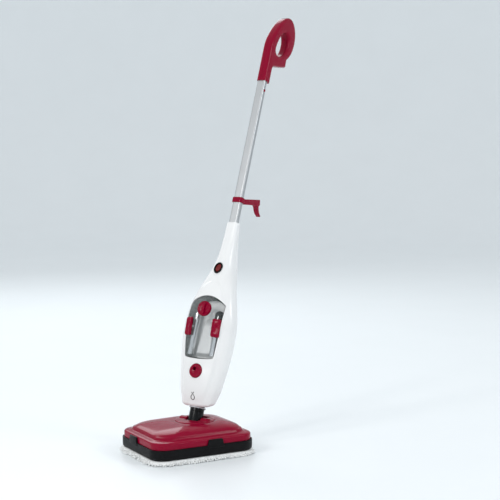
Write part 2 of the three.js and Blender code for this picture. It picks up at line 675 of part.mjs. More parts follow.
const switchFrame = new THREE.Group();
upper.add(switchFrame);
switchFrame.position.set(0, SWITCH_FACE, SWITCH_HEIGHT);
switchFrame.rotation.x = THREE.MathUtils.degToRad(SWITCH_SLOPE);
const bezelFlange = frontSlab(ovalShape(12, 16), -0.6, -3, 0.8);
const bezelSleeve = frontSlab(ovalShape(9.8, 13.8), 9, -1.5);
const bezelBore = frontSlab(ovalShape(8.2, 12.2), 10, -10);
piece('switch_bezel', cut(join(bezelFlange, bezelSleeve), bezelBore), BLACK, switchFrame);
piece('switch_body', cut(block([-8.5, 9.4, -12], [8.5, 22, 12]), block([-6, 8, -9], [6, 14, 9])),
  BLACK, switchFrame);
const rocker = new THREE.Group();
switchFrame.add(rocker);
rocker.position.set(0, 5, 0);
rocker.rotation.x = THREE.MathUtils.degToRad(ROCKER_TILT);
piece('switch_rocker', frontSlab(ovalShape(7.6, 10.9), 2.5, -7, 1), LIT_RED, rocker);

// ---- Inside the casing ------------------------------------------------------------------------------

function makePump() {
  const coil = slab(roundedShape(16, 11, 3, 0, 9), 100, 140);
  return join(coil, barZ(5, 0, 9, 88, 152, 16));
}

function makeControlBoard() {
  const parts = [block([-14, 0, 298], [0, 11, 316]), block([6, 3, 300], [16, 11, 312]),
    barZ(6, 5, 4.5, 320, 342, 12)];
  return join(block([-22, 10, 290], [22, 11.6, 348]), ...parts);
}

const boilerShape = roundedShape(32, 38, 8, 0, BOILER_HEIGHT);
piece('boiler_front', frontSlab(boilerShape, 7.8, -3, 1.5), CAST, upper);
piece('boiler_back', frontSlab(boilerShape, 19, 8.1, 1.5), CAST, upper);
piece('boiler_thermostat', barZ(6.5, -14, 5, 268.4, 274, 16), STEEL, upper);
piece('pump', makePump(), BLACK, upper);
piece('control_board', makeControlBoard(), BOARD_GREEN, upper);
piece('tank_valve', barY(7, 0, VALVE_HEIGHT, TANK_BACK + GAP, -1.5, 20), RUBBER, upper);
piece('hose_tank_to_pump', hose(3, [[0, 2.2, VALVE_HEIGHT], [-14, 8, 168], [-30, 9, 140], [-28, 9, 100],
  [-12, 8, 78], [0, 9, 84.5]]), SILICONE, upper);
piece('hose_pump_to_boiler', hose(3, [[0, 9, 153], [2, 9, 164], [14, 9, 172], [16, 8, 191.6]]),
  SILICONE, upper);
piece('hose_boiler_to_neck', hose(3, [[34.4, 6, 212], [42, 6, 200], [44, 6, 150], [32, 8, 108],
  [20, 10, 86], [3, 6, 78], [0, NECK_SET_BACK, NECK_TOP + 8.4]]), SILICONE, upper);
piece('cord_gland', cut(join(barY(8, 0, GLAND_HEIGHT, 35.2, 37.4), barY(5.5, 0, GLAND_HEIGHT, 26, 36)),
  barY(3.6, 0, GLAND_HEIGHT, 20, 40)), RUBBER, upper);

// ---- Pole, cord hook and snap button -------------------------------------------------------------

function makePoleTube() {
  const outside = slab(roundedShape(POLE_HALF_WIDTH, POLE_HALF_DEPTH, POLE_CORNER), POLE_BOTTOM, POLE_TOP);
  const inside = slab(roundedShape(POLE_HALF_WIDTH - POLE_WALL, POLE_HALF_DEPTH - POLE_WALL,
    POLE_CORNER - POLE_WALL), POLE_BOTTOM - CUT, POLE_TOP + CUT);
  const snapHole = barX(SNAP_RADIUS + GAP, 0, SNAP_HEIGHT, 5, 20, 16);
  const screwHole = barY(SCREW_HOLE, 0, POLE_SCREW_HEIGHT, 0, 20, 12);
  return cut(outside, inside, snapHole, screwHole);
}

function makeHookCollar() {
  const band = slab(roundedShape(15, 10, 6), HOOK_COLLAR_BOTTOM, HOOK_COLLAR_TOP, 1);
  const hub = barY(7.5, 0, 0, 0, HOOK_HUB_LENGTH, 20).rotateX(THREE.MathUtils.degToRad(HOOK_RISE))
    .translate(0, POLE_HALF_DEPTH, HOOK_HEIGHT);
  const poleHole = slab(roundedShape(POLE_HALF_WIDTH + GAP, POLE_HALF_DEPTH + GAP, POLE_CORNER),
    HOOK_COLLAR_BOTTOM - 20, HOOK_COLLAR_TOP + 20);
  return cut(join(band, hub), poleHole);
}

// Along its arm and square to it; the prong turns down and outwards
function hookShape() {
  const shape = new THREE.Shape();
  shape.moveTo(0, -7);
  shape.lineTo(52, -8);
  shape.quadraticCurveTo(60, -8.5, 62, -16);
  shape.quadraticCurveTo(65, -30, 78.5, -38.5);
  shape.lineTo(81.5, -35.5);
  shape.quadraticCurveTo(72, -27, 72, -14);
  shape.quadraticCurveTo(72, -8.5, 78, -8);
  shape.lineTo(78, 5.5);
  shape.quadraticCurveTo(76, 7.5, 72, 7.5);
  shape.lineTo(0, 7);
  return shape;
}

piece('pole_tube', makePoleTube(), ALUMINIUM, upper);
piece('pole_screw', screw(12).rotateX(-Math.PI / 2).translate(0, 20.9, POLE_SCREW_HEIGHT), STEEL, upper);
piece('hook_collar', makeHookCollar(), CRIMSON, upper);
const hookFrame = new THREE.Group();
upper.add(hookFrame);
hookFrame.position.set(0, POLE_HALF_DEPTH, HOOK_HEIGHT);
hookFrame.rotation.x = THREE.MathUtils.degToRad(HOOK_RISE);
piece('cord_hook', sideSlab(hookShape(), -HOOK_HALF_THICKNESS, HOOK_HALF_THICKNESS, 1)
  .translate(0, HOOK_HUB_LENGTH + GAP, 0), CRIMSON, hookFrame);
piece('snap_button', turned([[0, 0], [SNAP_RADIUS + 0.8, 0], [SNAP_RADIUS + 0.8, 1.6],
  [SNAP_RADIUS, 1.6], [SNAP_RADIUS, 4.6], [SNAP_RADIUS - 1, 5.6], [0, 5.8]], 16)
  .rotateY(Math.PI / 2).translate(8.3, 0, SNAP_HEIGHT), CRIMSON, upper);
piece('snap_spring', springSleeve(3.6, 2.4, 0, 15.6, 4).rotateY(Math.PI / 2)
  .translate(-10.2, 0, SNAP_HEIGHT), STEEL, upper);

// ---- Handle ---------------------------------------------------------------------------------------

function handleShape() {
  const shape = new THREE.Shape();
  shape.moveTo(-10.5, HANDLE_BOTTOM);
  shape.lineTo(17.5, HANDLE_BOTTOM);
  shape.lineTo(17.5, 954);
  shape.quadraticCurveTo(18, 963.5, 25, 967.5);
  shape.lineTo(78, 987);
  shape.lineTo(77, 1008);
  shape.bezierCurveTo(94, 1024, 101, 1046, 100.5, 1068);
  shape.bezierCurveTo(100, 1098, 82, 1124, 60, 1124);
  shape.bezierCurveTo(36, 1124, 8, 1080, -5, 1044);
  shape.quadraticCurveTo(-10.5, 1030, -10.5, 1012);
  return shape;
}

function gripHoleShape() {
  const shape = new THREE.Shape();
  shape.moveTo(30, 1003);
  shape.bezierCurveTo(50, 1001, 66, 1024, 67, 1048);
  shape.bezierCurveTo(68, 1066, 58, 1077, 50, 1076);
  shape.bezierCurveTo(38, 1074, 22, 1052, 17, 1018);
  shape.quadraticCurveTo(16, 1004, 30, 1003);
  return shape;
}

const HANDLE_SCREW_PLACES = [[3, 1006], [84, 1052]];

function makeHandleShell(side) {
  const thick = HANDLE_HALF_THICKNESS;
  const hollowThick = thick - WALL;
  const outside = cut(sideSlab(handleShape(), -thick, thick, 4),
    sideSlab(insetShape(gripHoleShape(), 0), -20, 20));
  const inside = cut(sideSlab(insetShape(handleShape(), WALL + 1), -hollowThick, hollowThick, 2),
    sideSlab(insetShape(gripHoleShape(), -WALL), -20, 20), block([-20, -20, 900], [20, 20, 988]));
  const socket = slab(roundedShape(POLE_HALF_WIDTH + GAP, POLE_HALF_DEPTH + GAP, POLE_CORNER),
    900, POLE_TOP + 1);
  const bosses = HANDLE_SCREW_PLACES.map(([y, z]) => barX(SCREW_BOSS, y, z,
    -hollowThick - 1, hollowThick + 1, 8));
  const screwHoles = HANDLE_SCREW_PLACES.flatMap(([y, z]) => [barX(SCREW_HOLE, y, z, -20, 8, 8),
    barX(SCREW_WELL, y, z, -20, -8, 8)]);
  const half = side < 0 ? block([-30, -50, 900], [-GAP / 2, 150, 1200])
    : block([GAP / 2, -50, 900], [30, 150, 1200]);
  return common(cut(join(cut(outside, inside), ...bosses), socket, ...screwHoles), half);
}

piece('handle_left', makeHandleShell(-1), CRIMSON, upper);
piece('handle_right', makeHandleShell(1), CRIMSON, upper);
HANDLE_SCREW_PLACES.forEach(([y, z], index) => {
  piece(`handle_screw_${index + 1}`, screw(17).rotateY(-Math.PI / 2).translate(-10.5, y, z), STEEL, upper);
});

export default mop;
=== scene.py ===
import json
import math
import random

import bmesh
import bpy
from mathutils import Matrix, Vector, noise


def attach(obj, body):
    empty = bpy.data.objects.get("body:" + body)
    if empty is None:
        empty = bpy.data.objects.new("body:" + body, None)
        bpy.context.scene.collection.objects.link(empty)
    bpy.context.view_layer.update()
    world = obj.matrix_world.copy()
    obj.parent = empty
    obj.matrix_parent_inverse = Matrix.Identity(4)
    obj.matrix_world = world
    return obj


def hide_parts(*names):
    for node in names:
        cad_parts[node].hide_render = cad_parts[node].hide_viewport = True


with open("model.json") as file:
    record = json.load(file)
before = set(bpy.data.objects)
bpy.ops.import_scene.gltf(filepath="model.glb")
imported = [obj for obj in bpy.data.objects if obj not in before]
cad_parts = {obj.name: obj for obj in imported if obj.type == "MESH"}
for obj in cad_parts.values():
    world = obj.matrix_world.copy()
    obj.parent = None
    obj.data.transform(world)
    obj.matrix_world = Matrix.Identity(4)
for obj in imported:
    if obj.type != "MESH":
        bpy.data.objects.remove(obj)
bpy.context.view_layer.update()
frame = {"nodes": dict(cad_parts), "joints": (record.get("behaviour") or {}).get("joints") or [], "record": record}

# A steam mop's looks. Sizes are in millimetres, in the frame that each piece is made in, and
# become metres when the piece is placed. In the upper frame +X is across the mop, +Y is its back
# and +Z runs up the pole from the tilt pins.

MM = 0.001

# ---- Frames, from the joints ---------------------------------------------------------------------

joints = {joint["name"]: joint for joint in frame["joints"]}
ACROSS = -Vector(joints["neck_tilt"]["axis"])
BACK = -Vector(joints["tank_slide"]["axis"])
UP_POLE = ACROSS.cross(BACK)
UP = Vector((0, 0, 1))
PIN = Vector(joints["neck_tilt"]["pos_m"])
NECK_SET_BACK = 4


def frame_matrix(across, back, up, origin):
    matrix = Matrix((across, back, up)).transposed().to_4x4()
    matrix.translation = origin
    return matrix


UPPER = frame_matrix(ACROSS, BACK, UP_POLE, PIN - BACK * NECK_SET_BACK * MM)
NECK = frame_matrix(ACROSS, BACK, UP_POLE, PIN)
TURRET = frame_matrix(ACROSS, UP.cross(ACROSS), UP, PIN)
HEAD = Matrix.Identity(4)
SIDES = (("left", -1), ("right", 1))
FORWARD = Matrix.Rotation(math.radians(90), 4, "X")   # turns +Z towards the mop's front
SIDEWAYS = Matrix.Rotation(math.radians(90), 4, "Y")  # turns +Z towards +X

# Stands an outline up: its own X and Y become the frame's Y and Z, and its thickness is along X
SIDE_ON = Matrix(((0, 0, 1, 0), (1, 0, 0, 0), (0, 1, 0, 0), (0, 0, 0, 1)))


def at(x, y, z):
    return Matrix.Translation(Vector((x, y, z)))


# ---- Shader writing ------------------------------------------------------------------------------

class Flow:
    """A value in a material's nodes, so that sums of values are written as sums."""

    def __init__(self, finish, socket):
        self.finish = finish
        self.socket = socket

    def math(self, operation, first, second):
        return self.finish.add("Math", {"operation": operation}, {0: first, 1: second})

    def __add__(self, other):
        return self.math("ADD", self, other)

    def __radd__(self, other):
        return self.math("ADD", other, self)

    def __sub__(self, other):
        return self.math("SUBTRACT", self, other)

    def __rsub__(self, other):
        return self.math("SUBTRACT", other, self)

    def __mul__(self, other):
        return self.math("MULTIPLY", self, other)

    def __rmul__(self, other):
        return self.math("MULTIPLY", other, self)

    def __gt__(self, other):
        return self.math("GREATER_THAN", self, other)

    def __pow__(self, other):
        return self.math("POWER", self, other)


class Finish:
    """One material: a Principled shader and the nodes that feed it."""

    def __init__(self, name, color, roughness, metallic=0.0, **constants):
        self.material = bpy.data.materials.new(name)
        self.material.use_nodes = True
        self.tree = self.material.node_tree
        self.shader = self.tree.nodes["Principled BSDF"]
        self.color = (*color, 1.0)
        self.roughness = roughness
        self.set("Base Color", self.color)
        self.set("Roughness", roughness)
        self.set("Metallic", metallic)
        for key, value in constants.items():
            self.set(key.replace("_", " "), value)

    def set(self, socket, value):
        """Gives one of the shader's own sockets a constant or a link."""
        self.connect(self.shader.inputs[socket], value)

    def connect(self, socket, value):
        if isinstance(value, Flow):
            self.tree.links.new(value.socket, socket)
        else:
            socket.default_value = value

    def add(self, kind, settings=None, inputs=None, output=0):
        """A node of any type, with its settings first and then its sockets."""
        node = self.tree.nodes.new("ShaderNode" + kind)
        for key, value in (settings or {}).items():
            if key == "stops":
                self.set_stops(node.color_ramp, value)
            else:
                setattr(node, key, value)
        for key, value in (inputs or {}).items():
            self.connect(node.inputs[key], value)
        return Flow(self, node.outputs[output])

    @staticmethod
    def set_stops(ramp, stops):
        while len(ramp.elements) < len(stops):
            ramp.elements.new(0.5)
        for element, (place, value) in zip(ramp.elements, stops):
            element.position = place
            element.color = (value, value, value, 1.0)

    def place(self, stretch=(1, 1, 1)):
        """Places on the surface in the piece's own frame, stretched for grain."""
        own = self.add("TexCoord", output="Object")
        return self.add("Mapping", inputs={"Vector": own, "Scale": stretch})

    def cloud(self, scale, detail=3.0, stretch=(1, 1, 1), roughness=0.55):
        """Soft noise from 0 to 1."""
        return self.add("TexNoise", inputs={"Vector": self.place(stretch), "Scale": scale,
                                            "Detail": detail, "Roughness": roughness})

    def cells(self, scale, stretch=(1, 1, 1)):
        """Distance to the nearest of many scattered points."""
        return self.add("TexVoronoi", inputs={"Vector": self.place(stretch), "Scale": scale})

    def tint(self, share, light=1.12, dark=0.86):
        """The base colour, lighter where share is 1 and darker where it is 0."""
        low = [channel * dark for channel in self.color[:3]] + [1.0]
        high = [min(1.0, channel * light) for channel in self.color[:3]] + [1.0]
        mixed = self.add("Mix", {"data_type": "RGBA"}, {0: share, 6: low, 7: high}, output=2)
        self.set("Base Color", mixed)

    def bump(self, height, strength, distance):
        self.set("Normal", self.add("Bump", inputs={"Height": height, "Strength": strength,
                                                    "Distance": distance}))


GLOSS_PEEL = 0.05  # how strongly polished plastic's faint waves show


def moulded(name, color, roughness, coat=0.0, grain=0.0, smear=0.08, spec=0.5):
    """Injection-moulded plastic: a faint flow pattern, finger smears and a fine texture."""
    finish = Finish(name, color, roughness, Specular_IOR_Level=spec, Coat_Weight=coat,
                    Coat_Roughness=0.06)
    finish.tint(finish.cloud(9.0, 2.0), 1.05, 0.95)
    smears = finish.cloud(26.0, 4.0)
    finish.set("Roughness", roughness + (smears - 0.5) * smear)
    peel = finish.cloud(1500.0 if grain else 220.0, 2.0)
    finish.bump(peel, grain or GLOSS_PEEL, 0.0004)
    return finish.material


def worn_metal(name, color, roughness, stretch, streak=0.25, strength=0.12, metallic=1.0):
    """Metal with drawn or brushed grain along one direction, and a few dull patches."""
    finish = Finish(name, color, roughness, metallic)
    grain = finish.cloud(1.0, 3.0, stretch)
    patches = finish.cloud(14.0, 3.0)
    finish.tint(grain * 0.6 + patches * 0.4, 1.08, 0.9)
    finish.set("Roughness", roughness + (grain - 0.5) * streak + (patches - 0.5) * 0.1)
    finish.bump(grain, strength, 0.0002)
    return finish.material


def soft_rubber(name, color, roughness):
    finish = Finish(name, color, roughness, Specular_IOR_Level=0.35)
    finish.tint(finish.cloud(30.0, 3.0), 1.25, 0.8)
    finish.bump(finish.cloud(900.0, 2.0), 0.25, 0.0003)
    return finish.material


def clear_plastic(name, color, facing_alpha, edge_alpha):
    """Tinted see-through plastic that looks denser where it turns away."""
    finish = Finish(name, color, 0.07, Specular_IOR_Level=0.4)
    edge = finish.add("LayerWeight", inputs={"Blend": 0.45}, output="Facing")
    haze = finish.cloud(12.0, 3.0)
    finish.set("Alpha", edge * (edge_alpha - facing_alpha) + facing_alpha + (haze - 0.5) * 0.06)
    finish.set("Roughness", haze * 0.06 + 0.04)
    finish.tint(haze, 1.05, 0.92)
    return finish.material


def looped_fibre(name, color):
    """Microfibre yarn: mottled, very matt, with a soft edge sheen."""
    finish = Finish(name, color, 0.95, Specular_IOR_Level=0.15, Sheen_Weight=0.4,
                    Sheen_Roughness=0.5)
    mottle = finish.cloud(60.0, 5.0)
    loops = finish.cells(420.0)
    finish.tint(mottle * 0.6 + loops * 0.6, 1.04, 0.8)
    finish.bump(loops * 0.7 + finish.cloud(1400.0, 2.0) * 0.3, 0.6, 0.0012)
    return finish.material


def circuit_board(name, color):
    finish = Finish(name, color, 0.45)
    tracks = finish.cells(260.0) > 0.22
    finish.tint(tracks, 1.5, 0.8)
    finish.bump(tracks, 0.2, 0.0002)
    return finish.material


def glowing(name, color, light, strength):
    """Lit translucent plastic."""
    finish = Finish(name, color, 0.22, Specular_IOR_Level=0.3, Emission_Strength=strength)
    depth = finish.cloud(120.0, 3.0)
    finish.tint(depth, 1.25, 0.7)
    finish.set("Emission Color", (*light, 1.0))
    finish.bump(depth, 0.1, 0.0003)
    return finish.material


CRIMSON = (0.25, 0.0006, 0.022)
WHITE = (0.84, 0.835, 0.83)
BLACK = (0.004, 0.004, 0.0045)

FINISHES = {
    "crimson_plastic": moulded("crimson_gloss_abs", CRIMSON, 0.12, spec=0.13),
    "white_plastic": moulded("white_gloss_abs", WHITE, 0.26, coat=0.35, smear=0.05),
    "black_plastic": moulded("black_grained_polypropylene", BLACK, 0.42, grain=0.3, spec=0.12),
    "grey_plastic": moulded("pale_grey_nylon", (0.52, 0.53, 0.55), 0.4, grain=0.2),
    "rubber": soft_rubber("black_seal_rubber", (0.014, 0.014, 0.015), 0.75),
    "silicone": soft_rubber("milky_silicone_hose", (0.70, 0.67, 0.60), 0.5),
    "clear_plastic": clear_plastic("smoky_tank_plastic", (0.30, 0.32, 0.32), 0.06, 0.58),
    "aluminium": worn_metal("satin_anodised_aluminium", (0.50, 0.51, 0.52), 0.36,
                            (900, 900, 6)),
    "cast_aluminium": worn_metal("die_cast_aluminium", (0.45, 0.46, 0.47), 0.55,
                                 (300, 300, 300), 0.3, 0.5),
    "steel": worn_metal("zinc_plated_steel", (0.55, 0.56, 0.57), 0.32, (400, 400, 400)),
    "silvered": worn_metal("bright_silvered_tube", (0.86, 0.87, 0.89), 0.12, (600, 600, 10), 0.08),
    "microfibre": looped_fibre("white_microfibre_yarn", (0.90, 0.90, 0.89)),
    "hook_tape": looped_fibre("grey_hook_tape", (0.55, 0.55, 0.54)),
    "board": circuit_board("green_circuit_board", (0.02, 0.13, 0.04)),
    "lit_red": glowing("lit_red_rocker", (0.13, 0.004, 0.004), (0.7, 0.03, 0.02), 0.04),
}
INK = moulded("black_print", (0.004, 0.004, 0.004), 0.5, spec=0.1)
GLOSS_BLACK = moulded("gloss_black_abs", BLACK, 0.16, spec=0.2)
LINING = worn_metal("silvered_tank_lining", (0.92, 0.93, 0.93), 0.42, (60, 60, 8), 0.1, 0.05, 0.2)

# ---- Mesh making ---------------------------------------------------------------------------------


def set_down(name, data, matrix=Matrix.Identity(4)):
    """An object in the scene for a mesh, curve, light or camera, set in a frame."""
    made = bpy.data.objects.new(name, data)
    bpy.context.scene.collection.objects.link(made)
    made.matrix_world = matrix
    return made


def new_object(name, vertices, faces, matrix):
    """A mesh object from points in millimetres, set in a frame."""
    mesh = bpy.data.meshes.new(name)
    mesh.from_pydata([Vector(point) * MM for point in vertices], [], faces)
    mesh.validate()
    return set_down(name, mesh, matrix)


def mesh_of(piece):
    """The mesh that an object's curve or modifiers make."""
    bpy.context.view_layer.update()
    return bpy.data.meshes.new_from_object(piece.evaluated_get(bpy.context.evaluated_depsgraph_get()))


def apply_modifiers(piece):
    """Replaces a piece's mesh with what its modifiers make of it."""
    made = mesh_of(piece)
    piece.modifiers.clear()
    piece.data = made


def shade(piece, angle=35.0):
    """Smooth shading, except over edges sharper than an angle."""
    piece.data.shade_smooth()
    piece.data.set_sharp_from_angle(angle=math.radians(angle))


def faces_out(piece):
    shape = bmesh.new()
    shape.from_mesh(piece.data)
    bmesh.ops.recalc_face_normals(shape, faces=shape.faces)
    shape.to_mesh(piece.data)
    shape.free()


def boolean(piece, tool, operation):
    step = piece.modifiers.new(operation, "BOOLEAN")
    step.operation = operation
    step.object = tool
    step.solver = "EXACT"
    apply_modifiers(piece)
    bpy.data.objects.remove(tool)


def carve(piece, *tools):
    for tool in tools:
        boolean(piece, tool, "DIFFERENCE")
    return piece


def weld_on(piece, *others):
    for other in others:
        boolean(piece, other, "UNION")
    return piece


def merge_in(piece, *others):
    """Adds other solids to a piece's mesh without cutting."""
    shape = bmesh.new()
    shape.from_mesh(piece.data)
    for other in others:
        own = other.data.copy()
        own.transform(piece.matrix_world.inverted() @ other.matrix_world)
        shape.from_mesh(own)
        bpy.data.objects.remove(other)
    shape.to_mesh(piece.data)
    shape.free()
    return piece


def weld_points(piece, distance=1e-6):
    """Merges points that lie on each other, and turns the faces out."""
    shape = bmesh.new()
    shape.from_mesh(piece.data)
    bmesh.ops.remove_doubles(shape, verts=shape.verts, dist=distance)
    bmesh.ops.recalc_face_normals(shape, faces=shape.faces)
    shape.to_mesh(piece.data)
    shape.free()
    return piece


def hold(piece, body, slot, *nodes, material=None, angle=35.0, grain_along_piece=False):
    """Finishes a piece: its shading, material, body and the nodes that it stands for."""
    shade(piece, angle)
    if not grain_along_piece:
        piece.data.transform(piece.matrix_world)
        piece.matrix_world = Matrix.Identity(4)
    piece.data.materials.clear()
    piece.data.materials.append(material or FINISHES[slot])
    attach(piece, body)
    if nodes:
        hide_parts(*nodes)
    return piece


def skin(rings, close_ends=True):
    """Vertices and faces over rings of equal length, counter-clockwise seen from above."""
    count = len(rings[0])
    vertices = [point for ring in rings for point in ring]
    faces = []
    for level in range(len(rings) - 1):
        low, high = level * count, (level + 1) * count
        for side in range(count):
            after = (side + 1) % count
            faces.append((low + side, low + after, high + after, high + side))
    if close_ends:
        faces.append(tuple(range(count - 1, -1, -1)))
        top = (len(rings) - 1) * count
        faces.append(tuple(range(top, top + count)))
    return vertices, faces


def skinned(name, rings, matrix, close_ends=True):
    return new_object(name, *skin(rings, close_ends), matrix)


def turned(name, profile, matrix, sides=64):
    """A turned piece about Z. Its profile is radius and height, and starts and ends on the axis,
    or closes on itself."""
    ring_angles = [2 * math.pi * side / sides for side in range(sides)]
    rings = [[(max(radius, 1e-4) * math.cos(angle), max(radius, 1e-4) * math.sin(angle), height)
              for angle in ring_angles] for radius, height in profile]
    on_axis = profile[0][0] == 0
    vertices, faces = skin(rings, close_ends=on_axis)
    made = new_object(name, vertices, faces, matrix)
    if on_axis:
        faces_out(made)
    else:
        weld_points(made)
    return made


def drill(radius, start, end, matrix):
    """A round tool for a hole along Z."""
    return turned("hole", [(0, start), (radius, start), (radius, end), (0, end)], matrix, 32)


def arc(centre_r, centre_z, radius, start, end, steps=6):
    """Points of a rounded corner in a turned profile, by angles in degrees."""
    angles = [math.radians(start + (end - start) * step / steps) for step in range(steps + 1)]
    return [(centre_r + radius * math.cos(angle), centre_z + radius * math.sin(angle))
            for angle in angles]


def rounded_block(name, low, high, radius, matrix, segments=4):
    """A box between two corners with all its edges rounded."""
    shape = bmesh.new()
    bmesh.ops.create_cube(shape, size=1.0)
    for vertex in shape.verts:
        vertex.co = Vector([low[axis] + (vertex.co[axis] + 0.5) * (high[axis] - low[axis])
                            for axis in range(3)]) * MM
    bmesh.ops.bevel(shape, geom=shape.edges[:], offset=radius * MM, segments=segments,
                    profile=0.5, affect="EDGES")
    mesh = bpy.data.meshes.new(name)
    shape.to_mesh(mesh)
    shape.free()
    return set_down(name, mesh, matrix)


def curve_points(anchors, steps=10, closed=False):
    """A smooth line through points, by Catmull-Rom spans."""
    count = len(anchors)
    spans = count if closed else count - 1
    points = []
    for span in range(spans):
        if closed:
            near = [Vector(anchors[(span + shift) % count]) for shift in (-1, 0, 1, 2)]
        else:
            near = [Vector(anchors[min(max(span + shift, 0), count - 1)])
                    for shift in (-1, 0, 1, 2)]
        for step in range(steps):
            t = step / steps
            points.append(0.5 * ((2 * near[1]) + (near[2] - near[0]) * t
                                 + (2 * near[0] - 5 * near[1] + 4 * near[2] - near[3]) * t * t
                                 + (3 * near[1] - near[0] - 3 * near[2] + near[3]) * t ** 3))
    if not closed:
        points.append(Vector(anchors[-1]))
    return points


def table_at(rows, key):
    """A row's values at any key, smoothly between the listed rows."""
    if key <= rows[0][0]:
        return rows[0][1:]
    for index in range(len(rows) - 1):
        if key <= rows[index + 1][0]:
            break
    else:
        return rows[-1][1:]
    near = [rows[min(max(index + shift, 0), len(rows) - 1)] for shift in (-1, 0, 1, 2)]
    span = near[2][0] - near[1][0]
    t = (key - near[1][0]) / span
    values = []
    for column in range(1, len(rows[0])):
        before, start, end, after = (row[column] for row in near)
        slope_start = (end - before) / max(near[2][0] - near[0][0], 1e-9) * span
        slope_end = (after - start) / max(near[3][0] - near[1][0], 1e-9) * span
        values.append((2 * t ** 3 - 3 * t * t + 1) * start + (t ** 3 - 2 * t * t + t) * slope_start
                      + (3 * t * t - 2 * t ** 3) * end + (t ** 3 - t * t) * slope_end)
    return values


def smooth_step(value):
    value = min(max(value, 0.0), 1.0)
    return value * value * (3 - 2 * value)


def slab_between(name, outlines, depth, edge, matrix, resolution=6):
    """A flat solid centred on z = 0 from closed outlines in X and Y, with rounded edges. The
    first outline is the outside and the others are holes."""
    curve = bpy.data.curves.new(name, "CURVE")
    curve.dimensions = "2D"
    curve.fill_mode = "BOTH"
    curve.extrude = (depth / 2 - edge) * MM
    curve.bevel_depth = edge * MM
    curve.bevel_resolution = resolution
    curve.offset = -edge * MM
    for outline in outlines:
        spline = curve.splines.new("POLY")
        spline.points.add(len(outline) - 1)
        for point, (x, y) in zip(spline.points, outline):
            point.co = (x * MM, y * MM, 0, 1)
        spline.use_cyclic_u = True
    shape = set_down(name, curve)
    mesh = mesh_of(shape)
    bpy.data.objects.remove(shape)
    return weld_points(set_down(name, mesh, matrix), 2e-6)


PANEL_EDGE_STEPS = 5


def star_panel(name, outline, centre, front, back, edge, matrix, levels=14):
    """A plate seen from the front. Its outline is in X and Z, its front and back faces follow
    functions of X and Z, and its front edge is rounded."""
    def ring(share, inset, place):
        points = []
        for x, z in outline:
            away = Vector((x - centre[0], z - centre[1]))
            away *= max(share - inset / max(away.length, 1e-6), 0.0)
            x_in, z_in = centre[0] + away.x, centre[1] + away.y
            points.append((x_in, place(x_in, z_in), z_in))
        return points

    shares = [0.02 + 0.98 * level / levels for level in range(levels + 1)]
    rings = [ring(share, 0, back) for share in shares]
    for step in range(PANEL_EDGE_STEPS + 1):
        angle = step / PANEL_EDGE_STEPS * math.pi / 2
        inset = edge * (1 - math.cos(angle))
        lift = edge * (1 - math.sin(angle))
        rings.append(ring(1, inset, lambda x, z, lift=lift: front(x, z) + lift))
    for level in range(levels - 1, -1, -1):
        rings.append(ring(shares[level], edge * level / levels, front))
    vertices, faces = skin(rings)
    made = new_object(name, vertices, faces, matrix)
    faces_out(made)
    return made


def half_of(piece, point, normal):
    """Keeps the part of a solid on the side that the normal points to, and closes the cut."""
    shape = bmesh.new()
    shape.from_mesh(piece.data)
    cut = bmesh.ops.bisect_plane(shape, geom=shape.verts[:] + shape.edges[:] + shape.faces[:],
                                 plane_co=Vector(point) * MM, plane_no=normal, clear_inner=True)
    rim = [item for item in cut["geom_cut"] if isinstance(item, bmesh.types.BMEdge)]
    bmesh.ops.triangle_fill(shape, edges=rim, use_beauty=True)
    bmesh.ops.recalc_face_normals(shape, faces=shape.faces)
    shape.to_mesh(piece.data)
    shape.free()
    return piece


def copy_of(piece, name):
    return set_down(name, piece.data.copy(), piece.matrix_world)


# ---- Floor head ----------------------------------------------------------------------------------

HEAD_HALF_WIDTH = 112
HEAD_HALF_LENGTH = 139
HEAD_CORNER = 38
HEAD_RAYS = 192
HALVINGS = 26
SWIVEL_BACK = 22
TURRET_RADIUS = 49.6
TURRET_HOLE = 50.2
FRAME_FOOT = 12.3
FRAME_TOP = 37.7
CLIP_TOP = 52
COVER_TOP = 78


def headed_away(angle, inset, corner):
    """A point of the head's outline, drawn in by an inset, in a direction from its middle."""
    half = Vector((HEAD_HALF_WIDTH - inset, HEAD_HALF_LENGTH - inset))
    core = half - Vector((corner, corner))
    heading = Vector((math.cos(angle), math.sin(angle)))
    low, high = 0.0, half.length * 1.1
    for _ in range(HALVINGS):
        reach = (low + high) / 2
        past_x, past_y = abs(heading.x) * reach - core.x, abs(heading.y) * reach - core.y
        past = Vector((max(past_x, 0), max(past_y, 0)))
        if max(past_x, past_y) < 0 or past.length < corner:
            low = reach
        else:
            high = reach
    return heading * low


def head_ring(inset, height, corner=None, towards_turret=0.0, reach=TURRET_HOLE):
    corner = HEAD_CORNER - min(inset, 30) if corner is None else corner
    ring = []
    for ray in range(HEAD_RAYS):
        angle = 2 * math.pi * (ray + 0.5) / HEAD_RAYS
        outer = headed_away(angle, inset, corner)
        inner = Vector((reach * math.cos(angle), SWIVEL_BACK + reach * math.sin(angle)))
        place = outer.lerp(inner, towards_turret)
        ring.append((place.x, place.y, height))
    return ring


# The cover's profile: inset from the head's edge, height and corner radius, up to the dome's foot
COVER_FLANGE = [(3.7, 38.1, 36), (3.5, 38.6, 36), (3.5, 49.4, 36), (3.9, 51.4, 36), (5.2, 53.1, 35),
                (7.4, 54.3, 33), (11, 55.2, 33), (15, 56.0, 33), (16.9, 56.5, 33), (18.2, 57.5, 34),
                (19.3, 59.6, 34), (20.6, 62.8, 35)]
# The dome from there: share of the way to the turret, and height
DOME = [(0.0, 64.8), (0.04, 67.0), (0.1, 69.2), (0.2, 71.4), (0.34, 73.6), (0.5, 75.4), (0.68, 76.9),
        (0.86, 77.8), (1.0, COVER_TOP)]
DOME_FOOT = 22
DOME_CORNER = 44
COVER_WALL = 2.2
DOME_WALL = 2.4


